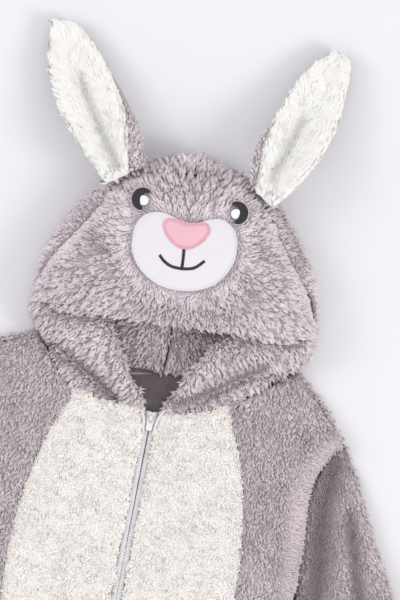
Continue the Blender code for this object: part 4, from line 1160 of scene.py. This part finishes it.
muzzle_line = smooth_line(MUZZLE, True, 8)
muzzle = sewn_patch("muzzle_patch", "muzzle", muzzle_line, (0.0, 146.0), MUZZLE_DEPTHS, muzzle_relief)
muzzle_top = surface(muzzle)
nose_line = smooth_line(NOSE, True, 8)
nose = sewn_patch("nose_patch", "nose", nose_line, (0.0, 164.0), NOSE_DEPTHS, nose_relief, 0.8, muzzle_top)
nose_top = surface(nose)
print("muzzle and nose faces:", len(muzzle.data.polygons), len(nose.data.polygons))

# %% [markdown]
# ## Eyes
# An eye is a crescent of close satin stitch, padded so that it stands proud, with a white highlight in
# its bow. The crescent is lofted along its centre line, whose table gives the half width at each point.

# %% Crescents and highlights
ACROSS = [-1.0, -0.92, -0.75, -0.5, -0.25, 0.0, 0.25, 0.5, 0.75, 0.92, 1.0]
EYE_ROWS = smooth_line(EYE, False, 6)
SIDES = {"left": 1, "right": -1}
EYE_GROUND = {name: tree_of_solids(["hood_front", "eye_" + name]) for name in SIDES}


def across(rows, k):
    """The unit vector to the right of a line at its point k."""
    before, after = rows[max(k - 1, 0)], rows[min(k + 1, len(rows) - 1)]
    size = math.hypot(after[0] - before[0], after[1] - before[1])
    return (after[1] - before[1]) / size, -(after[0] - before[0]) / size


def crescent(name, side, tree):
    """A padded crescent along the eye's centre line, mirrored by side."""
    top, low = [], []
    for k, (x, y, half) in enumerate(EYE_ROWS):
        nx, ny = across(EYE_ROWS, k)
        middle = drop(tree, side * x, y)[0].z
        for c in ACROSS:
            px, py = side * (x + nx * half * c), y + ny * half * c
            ground = 0.35 * drop(tree, px, py)[0].z + 0.65 * middle
            crown = 0.9 * math.sqrt(max(1 - c * c, 0.0)) ** 0.8
            top.append(Vector((*laid(px, py), ground + (0.3 + crown) * MM)))
            low.append(Vector((*laid(px, py), ground - 1.2 * MM)))
    columns, count = len(ACROSS), len(EYE_ROWS)
    verts, faces, start = top + low, [], len(top)
    for k in range(count - 1):
        for c in range(columns - 1):
            a = k * columns + c
            quad = (a, a + 1, a + 1 + columns, a + columns)
            faces += [quad, tuple(start + i for i in reversed(quad))]
    last = (count - 1) * columns
    rim = list(range(columns)) + [k * columns + columns - 1 for k in range(1, count)]
    rim += [last + c for c in range(columns - 2, -1, -1)] + [k * columns for k in range(count - 2, 0, -1)]
    for a, b in zip(rim, rim[1:] + rim[:1]):
        faces.append((b, a, start + a, start + b))
    return solid_piece(name, verts, faces)


eyes = {name: crescent(f"eye_{name}_crescent", side, EYE_GROUND[name]) for name, side in SIDES.items()}
glints = {}
glint_x, glint_y, glint_radius = GLINT
CIRCLE = [a * math.pi / 18 for a in range(36)]
GLINT_DEPTHS = (0.0, 0.2, 0.5, 0.9, 1.4)
for side_name, side in SIDES.items():
    x = side * glint_x
    solid_top = drop(tree_of_solids([f"eye_{side_name}_glint"]), x, glint_y)[0].z
    proud = (solid_top - drop(HOOD_FRONT, x, glint_y)[0].z) / MM
    ring = [(x + glint_radius * math.cos(a), glint_y + glint_radius * math.sin(a)) for a in CIRCLE]
    glints[side_name] = sewn_patch(
        f"eye_{side_name}_highlight", "hood_front", ring, (x, glint_y), GLINT_DEPTHS,
        lambda depth, px, py: 0.25 * ease(depth / 0.9) + proud - 0.15, base=HOOD_FRONT)
    print(side_name, "highlight stands proud of the hood by (mm):", round(proud, 2))
print("eyes:", {k: len(o.data.polygons) for k, o in eyes.items()})

# %% [markdown]
# ## Stitches
# All stitching is one short thread repeated along a line. A second Geometry Nodes tree takes a line whose
# points carry the direction that is up from the cloth, sets threads along it at an even pitch and turns
# each one along the line for a running stitch, or across it for satin stitch. The zip's coil uses the
# same tree with a thicker loop.

# %% Thread shape and the stitching tree
def thread_object(name, sides, rows, arch):
    """A unit thread along X. Each row is (place along, thickness); its middle arches up."""
    verts = []
    for along, thick in rows:
        for k in range(sides):
            angle = 2 * math.pi * k / sides
            rise = 0.5 * thick * math.sin(angle) + arch * (1 - 4 * along * along)
            verts.append((along, 0.5 * thick * math.cos(angle), rise))
    faces = bands(len(rows), sides)
    faces += [tuple(range(sides - 1, -1, -1)), tuple(range((len(rows) - 1) * sides, len(rows) * sides))]
    piece = solid_piece(name, [Vector(v) for v in verts], faces)
    bpy.context.scene.collection.objects.unlink(piece)
    return piece


THREAD_ROWS = [(-0.5, 0.35), (-0.4, 0.9), (0.0, 1.0), (0.4, 0.9), (0.5, 0.35)]
LOOP_ROWS = [(-0.5, 0.5), (-0.38, 0.95), (-0.15, 1.0), (0.15, 1.0), (0.38, 0.95), (0.5, 0.5)]
THREAD = thread_object("thread", 4, THREAD_ROWS, 0.5)
LOOP = thread_object("coil_loop", 5, LOOP_ROWS, 0.25)
stitch_tree, stitch_in, stitch_out = new_group("stitching", "GeometryNodeTree", [
    ("Line", "Geometry"), ("Thread", "Object"), ("Pitch", "Float", 0.003),
    ("Size", "Vector", (0.0025, 0.0005, 0.0005)), ("Turn", "Float", 0.0), ("Unevenness", "Float", 0.05),
    ("Seed", "Int", 1), ("Finish", "Material")], [("Stitches", "Geometry")])
line_in = stitch_in.outputs


def t(kind, settings=(), **values):
    """A node of the stitching tree."""
    return add_node(stitch_tree, kind, settings, **values)


line = t("GeometryNodeMeshToCurve", Mesh=line_in["Line"])
even = t("GeometryNodeResampleCurve", {"mode": "LENGTH"}, Curve=line.outputs[0], Length=line_in["Pitch"])
up = t("GeometryNodeInputNamedAttribute", {"data_type": "FLOAT_VECTOR"}, Name="up").outputs["Attribute"]
tangent = t("GeometryNodeInputTangent").outputs[0]
facing = t("FunctionNodeAxesToRotation", {"primary_axis": "Z", "secondary_axis": "X"}, Primary_Axis=up,
           Secondary_Axis=tangent)
jitter = t("FunctionNodeRandomValue", {"data_type": "FLOAT"}, i2=-1.0, i3=1.0, Seed=line_in["Seed"])
jitter = math_node(stitch_tree, "MULTIPLY", jitter.outputs[1], line_in["Unevenness"])
turn = math_node(stitch_tree, "ADD", line_in["Turn"], jitter)
about_up = t("FunctionNodeEulerToRotation", Euler=t("ShaderNodeCombineXYZ", Z=turn).outputs[0])
turned_stitch = t("FunctionNodeRotateRotation", {"rotation_space": "LOCAL"}, Rotation=facing.outputs[0],
                  Rotate_By=about_up.outputs[0])
sized = vector_node(stitch_tree, "SCALE", line_in["Size"], math_node(stitch_tree, "ADD", jitter, 1.0))
thread_in = t("GeometryNodeObjectInfo", Object=line_in["Thread"], As_Instance=True)
set_threads = t("GeometryNodeInstanceOnPoints", Points=even.outputs[0], Scale=sized,
                Instance=thread_in.outputs["Geometry"], Rotation=turned_stitch.outputs[0])
real_threads = t("GeometryNodeRealizeInstances", Geometry=set_threads.outputs[0])
thread_finish = t("GeometryNodeSetMaterial", Geometry=real_threads.outputs[0], Material=line_in["Finish"])
stitch_tree.links.new(thread_finish.outputs[0], stitch_out.inputs[0])
STITCH_SEED = 7


def stitches(name, lines, finish, pitch_mm, size_mm, across=False, thread=THREAD, uneven=0.05):
    """Threads along one or more lines. A line is (points, ups, closed), in metres."""
    verts, edges, ups = [], [], []
    for points, normals, closed in lines:
        first = len(verts)
        verts += [tuple(p) for p in points]
        ups += [c for n in normals for c in n]
        edges += [(first + k, first + k + 1) for k in range(len(points) - 1)]
        if closed:
            edges.append((len(verts) - 1, first))
    mesh = bpy.data.meshes.new(name)
    mesh.from_pydata(verts, edges, [])
    mesh.attributes.new("up", "FLOAT_VECTOR", "POINT").data.foreach_set("vector", ups)
    piece = add_object(name, mesh)
    run_nodes(piece, stitch_tree, {
        "Thread": thread, "Pitch": pitch_mm * MM, "Size": [v * MM for v in size_mm], "Finish": finish,
        "Turn": math.pi / 2 if across else 0.0, "Unevenness": uneven, "Seed": STITCH_SEED})
    smooth_shaded(piece.data)
    return piece


def on(tree, flat_line, lift_mm, closed):
    """A flat line dropped onto a surface, with its up directions."""
    points, ups = [], []
    for x, y in flat_line:
        point, normal = drop(tree, x, y)
        normal = normal if normal.z > 0 else -normal
        points.append(point + normal * lift_mm * MM)
        ups.append(normal)
    return points, ups, closed


# %% [markdown]
# ## Threads on the face
# Muzzle: a running stitch in its sunken line. Nose: a satin border with a fine line inside it. Mouth: a
# short stem and a smile in black satin stitch. Eyes: a thin white outline on the outer side.

# %% Thread finishes and the face's stitches
def finish_material(name, colour, roughness, mottling, relief=None, **inputs):
    """A plain finish: mottling and relief hold values for mottle and grain, the rest are shader inputs."""
    material, tree, shader = new_material(name, colour, roughness)
    tree.links.new(mottle(tree, colour, *mottling), shader.inputs["Base Color"])
    if relief:
        grain(tree, shader, *relief)
    for key, value in inputs.items():
        set_input(tree, shader.inputs[key.replace("_", " ")], value)
    return material


def thread_material(name, colour, roughness=0.45):
    return finish_material(name, colour, roughness, (400.0, 0.25), (5000.0, 0.08, 0.3), Sheen_Weight=0.2)


WHITE_THREAD = thread_material("white thread", (0.86, 0.85, 0.88))
PINK_THREAD = thread_material("pink satin thread", (0.88, 0.46, 0.55), 0.4)
ROSE_THREAD = thread_material("rose thread", (0.82, 0.33, 0.45), 0.4)
BLACK_THREAD = thread_material("black satin thread", (0.022, 0.021, 0.025), 0.33)

STEM = [(0.4, 148.4), (0.8, 142), (1.0, 136), (0.9, 130.6)]
SMILE = [(-20.6, 139.6), (-15.6, 134.7), (-8.6, 131.2), (1.0, 130.4), (10.4, 132.0), (15.4, 135.2),
         (20.4, 140.2)]
muzzle_stitches = stitches("muzzle_stitches", [on(muzzle_top, inset(muzzle_line, 2.3), 0.05, True)],
                           WHITE_THREAD, 2.6, (2.1, 0.42, 0.35))
muzzle_edge = stitches("muzzle_edge_stitches", [on(muzzle_top, inset(muzzle_line, 0.55), 0.0, True)],
                       WHITE_THREAD, 0.7, (1.5, 0.75, 0.5), True)
nose_border = stitches("nose_satin_border", [on(nose_top, inset(nose_line, 0.85), -0.05, True)], PINK_THREAD,
                       0.42, (2.2, 0.52, 0.6), True)
nose_stitches = stitches("nose_stitches", [on(nose_top, inset(nose_line, 2.6), 0.0, True)], ROSE_THREAD,
                         1.5, (1.3, 0.32, 0.3))
mouth = stitches("mouth_satin_stitches", [on(muzzle_top, smooth_line(SMILE, False, 8), 0.05, False),
                                          on(muzzle_top, smooth_line(STEM, False, 6), 0.15, False)],
                 BLACK_THREAD, 0.40, (2.9, 0.5, 0.6), True)


def eye_outline(side, tree):
    """The outer side of an eye, a third of a millimetre off it."""
    flat = []
    for k, (x, y, half) in enumerate(EYE_ROWS):
        nx, ny = across(EYE_ROWS, k)
        flat.append((side * (x - nx * (half + 0.35)), y - ny * (half + 0.35)))
    return on(tree, flat, 0.5, False)


eye_outlines = [eye_outline(side, EYE_GROUND[name]) for name, side in SIDES.items()]
eye_lines = stitches("eye_outline_stitches", eye_outlines, WHITE_THREAD, 0.5, (0.9, 0.55, 0.5), True)
for piece in (muzzle_stitches, nose_border, mouth, eye_lines):
    print(piece.name, len(piece.data.polygons), "faces")

# %% [markdown]
# ## Smooth knit and satin finishes
# The muzzle is a brushed tricot with a faint sheen, the nose a felt-like pink, the eyes satin thread
# whose strands run along the crescent.

# %% Patch finishes
def tricot_material(name, colour, roughness, sheen, threads=1800.0, relief=0.06):
    return finish_material(name, colour, roughness, (90.0, 0.05), (threads, relief, 0.4, 0.5),
                           Sheen_Weight=sheen, Specular_IOR_Level=0.3)


MUZZLE_KNIT = tricot_material("white brushed tricot", (0.765, 0.735, 0.76), 0.7, 0.3)
NOSE_KNIT = tricot_material("pink felted knit", (0.79, 0.49, 0.535), 0.8, 0.3, 1500.0)
EYE_SATIN = tricot_material("black satin stitch", (0.024, 0.023, 0.027), 0.4, 0.15, 2600.0, 0.25)
GLINT_SATIN = tricot_material("white satin stitch", (0.87, 0.86, 0.90), 0.45, 0.2, 2600.0, 0.2)
muzzle.data.materials.append(MUZZLE_KNIT)
nose.data.materials.append(NOSE_KNIT)
for side_name in SIDES:
    eyes[side_name].data.materials.append(EYE_SATIN)
    glints[side_name].data.materials.append(GLINT_SATIN)
print("finishes of the face:", [m.name for m in (MUZZLE_KNIT, NOSE_KNIT, EYE_SATIN, GLINT_SATIN)])

# %% [markdown]
# ## The zip
# A coil zip has two woven tapes, and a row of plastic loops along each. The loops are set along the
# solid's own centre line, which is read from the node in slices. Above the slider each tape folds into a
# soft cord. Slider, pull and stop keep their solid's shape and take a satin white enamel.

# %% Centre line of a coil
COIL_END = 0.0004      # the first and last loops stand this far inside the coil's ends


def centre_line(node, slices):
    """The middle of a long node, slice by slice along Y."""
    low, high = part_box(node)
    parts = [[] for _ in range(slices)]
    for p in (v.co for v in NODES[node].data.vertices):
        parts[min(int((p.y - low.y) / (high.y - low.y) * slices), slices - 1)].append(p)
    middle = [sum(part, Vector()) / len(part) for part in parts if part]
    middle[0] = Vector((middle[0].x, low.y + COIL_END, middle[0].z))
    middle[-1] = Vector((middle[-1].x, high.y - COIL_END, middle[-1].z))
    return middle


COIL_PLASTIC = finish_material("white zip plastic", (0.90, 0.885, 0.89), 0.32, (120.0, 0.06), (3000.0, 0.03))
TAPE_WEAVE = finish_material("woven zip tape", (0.92, 0.90, 0.91), 0.8, (200.0, 0.1), (2500.0, 0.15, 4.0))
coils, tapes = {}, {}
for side_name in SIDES:
    middle = centre_line("zip_coil_" + side_name, 40)
    coils[side_name] = stitches("zip_teeth_" + side_name, [(middle, [UPWARDS] * len(middle), False)],
                                COIL_PLASTIC, 1.4, (5.4, 1.5, 2.3), True, LOOP, 0.0)
    tapes[side_name] = panel_cloth("zip_tape_" + side_name, 0.0, 0)
    tapes[side_name].data.materials.append(TAPE_WEAVE)
print("coil loops:", {k: len(o.data.polygons) for k, o in coils.items()})


# %% The tapes' free ends above the slider, folded into cords that splay
TAPE_ENDS = {"left": [(4.6, 131.0), (5.4, 141.0), (7.2, 150.0), (11.8, 158.6)],
             "right": [(-4.6, 131.0), (-5.4, 140.0), (-7.0, 148.5), (-10.4, 154.6)]}
CORD_HALF = 1.3
CORD_SIDES = 8
CORD_PROUD = 1.4       # at its free end its middle lies this far above the cloth's solid, on the pile
CORD_SUNK = 3.0        # and it starts this much lower, beside the slider
EVERY_PANEL = tree_of_solids(PANELS + ["zip_tape_left", "zip_tape_right"])


def cord(name, line):
    """A soft round cord along a line of frame mm, resting on what lies below it."""
    rows = smooth_line(line, False, 6)
    tops = []
    for x, y in rows:
        starts = [Vector(((x + dx) * MM, y * MM, 0.2)) for dx in (-2.5, 0, 2.5)]
        tops.append(max(EVERY_PANEL.ray_cast(start, -UPWARDS)[0].z for start in starts))
    verts = []
    for k, (x, y) in enumerate(rows):
        nx, ny = across(rows, k)
        near = tops[max(k - 4, 0):k + 5]
        height = sum(near) / len(near)
        half = CORD_HALF * (0.6 if k in (0, len(rows) - 1) else 1.0)
        for s in range(CORD_SIDES):
            angle = 2 * math.pi * s / CORD_SIDES
            out, rise = half * math.cos(angle), half * math.sin(angle)
            lift = 0.7 * rise + CORD_PROUD - CORD_SUNK * (1 - ease(k / 12))
            verts.append(Vector(((x - nx * out) * MM, (y - ny * out) * MM, height + lift * MM)))
    faces = bands(len(rows), CORD_SIDES)
    faces += [tuple(range(CORD_SIDES)), tuple(range(len(verts) - 1, len(verts) - 1 - CORD_SIDES, -1))]
    return solid_piece(name, verts, faces)


FOLDED_TAPE = tricot_material("folded tape", (0.765, 0.735, 0.76), 0.8, 0.2, 2500.0)
tape_ends = {}
for side_name, line in TAPE_ENDS.items():
    end = tape_ends[side_name] = cord("zip_tape_end_" + side_name, line)
    end.data.materials.append(FOLDED_TAPE)
    print(end.name, "reaches z (m):", round(max(v.co.z for v in end.data.vertices), 4))

# %% Enamel of the slider, pull and stop
ENAMEL_WHITE = (0.80, 0.79, 0.795)
ENAMEL, enamel_tree, enamel_shader = new_material("white enamel", ENAMEL_WHITE, 0.28)
wear = add_node(enamel_tree, "ShaderNodeTexNoise", Scale=900.0, Detail=3.0,
                Vector=add_node(enamel_tree, "ShaderNodeTexCoord").outputs["Object"])
rough = add_node(enamel_tree, "ShaderNodeMapRange", Value=wear.outputs["Fac"], To_Min=0.2, To_Max=0.42)
enamel_tree.links.new(rough.outputs[0], enamel_shader.inputs["Roughness"])
enamel_tree.links.new(mottle(enamel_tree, ENAMEL_WHITE, 300.0, 0.08), enamel_shader.inputs["Base Color"])
enamel_shader.inputs["Coat Weight"].default_value = 0.4
for node in ("zip_slider", "zip_pull", "zip_bottom_stop"):
    NODES[node].data.materials.clear()
    NODES[node].data.materials.append(ENAMEL)

# %% [markdown]
# ## Floor
# A plain pale sheet of paper: nearly white, matt, with the faintest mottling.

# %% Floor finish
floor.data.materials.append(finish_material("pale paper", (0.80, 0.795, 0.81), 0.9, (3.0, 0.02)))

# %% [markdown]
# ## Joining the pieces to the frame
# Every piece rides on the garment, and each cloth, patch and part of the zip hides the node it replaces.

# %% Riding and replacing
SLOTS = {"ear_inner": "white_ear_pile", "belly": "white_curly_fleece"}     # grey_fleece elsewhere


def join(piece, slot, *nodes):
    """Let a piece ride on the garment in place of these nodes, which it hides. Its slot is not used."""
    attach(piece, "garment")
    if nodes:
        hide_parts(*nodes)
    return piece


for name, cloth in CLOTHS.items():
    slot = SLOTS.get(kind_of(name), "grey_fleece")
    join(cloth, slot, name)
    join(PILES[name], slot)
join(muzzle, "white_patch", "muzzle")
join(nose, "pink_patch", "nose")
for side_name in SIDES:
    join(eyes[side_name], "black_patch", "eye_" + side_name)
    join(glints[side_name], "white_patch", f"eye_{side_name}_glint")
    join(coils[side_name], "zip_white", "zip_coil_" + side_name)
    join(tapes[side_name], "zip_tape", "zip_tape_" + side_name)
    join(tape_ends[side_name], "zip_tape")
for slot, pieces in (("white_patch", (muzzle_stitches, muzzle_edge, eye_lines)),
                     ("pink_patch", (nose_border, nose_stitches)), ("black_patch", (mouth,))):
    for piece in pieces:
        join(piece, slot)

# %% [markdown]
# ## What each cloth was cut to
# Every cloth's cut is printed: the rectangle it is cut from and the area of the cut itself, beside about the area
# of its one side. A sleeve is a tube, and its cut goes all the way round.

# %% Cut sizes
# node: width and length of the rectangle in m, area of the cut in square m, what it lies on
CUT = {
    "back": (0.36, 0.72, 0.226, []),
    "belly_left": (0.105, 0.37, 0.031, ["back"]),
    "belly_right": (0.105, 0.37, 0.031, ["back"]),
    "side_front_left": (0.19, 0.73, 0.079, ["back"]),
    "side_front_right": (0.19, 0.73, 0.079, ["back"]),
    "sleeve_left": (0.25, 0.275, 0.038, []),
    "sleeve_right": (0.25, 0.275, 0.038, []),
    "hood_back_left": (0.14, 0.20, 0.0257, []),
    "hood_back_right": (0.14, 0.20, 0.0257, []),
    "hood_front": (0.27, 0.23, 0.049, ["hood_back_left", "hood_back_right"]),
    "ear_left_outer": (0.085, 0.155, 0.0080, []),
    "ear_right_outer": (0.085, 0.155, 0.0080, []),
    "ear_left_inner": (0.075, 0.155, 0.0071, ["ear_left_outer"]),
    "ear_right_inner": (0.075, 0.155, 0.0071, ["ear_right_outer"]),
}


def half_surface(piece):
    """About the area of a thin closed piece's one side."""
    return sum(p.area for p in piece.data.polygons) / 2


def declare(piece, width, length, area):
    print(f"{piece.name}: cut {width:.3f} x {length:.3f} m, {area} of {half_surface(piece):.5f} square m")


for name, (width, length, area, under) in CUT.items():
    declare(CLOTHS[name], width, length, area)
declare(muzzle, 0.098, 0.072, 0.0057)
declare(nose, 0.045, 0.028, 0.00092)
for side_name in SIDES:
    declare(tapes[side_name], 0.016, 0.345, 0.0048)
    declare(eyes[side_name], 0.014, 0.024, 0.00018)

# %% Removing the lock shapes and threads, and the end
for group in (WAVY_LOCKS, STRAIGHT_LOCKS):
    for lock in list(group.objects):
        bpy.data.objects.remove(lock)
    bpy.data.collections.remove(group)
for thread in (THREAD, LOOP):
    bpy.data.objects.remove(thread)
bpy.context.view_layer.update()
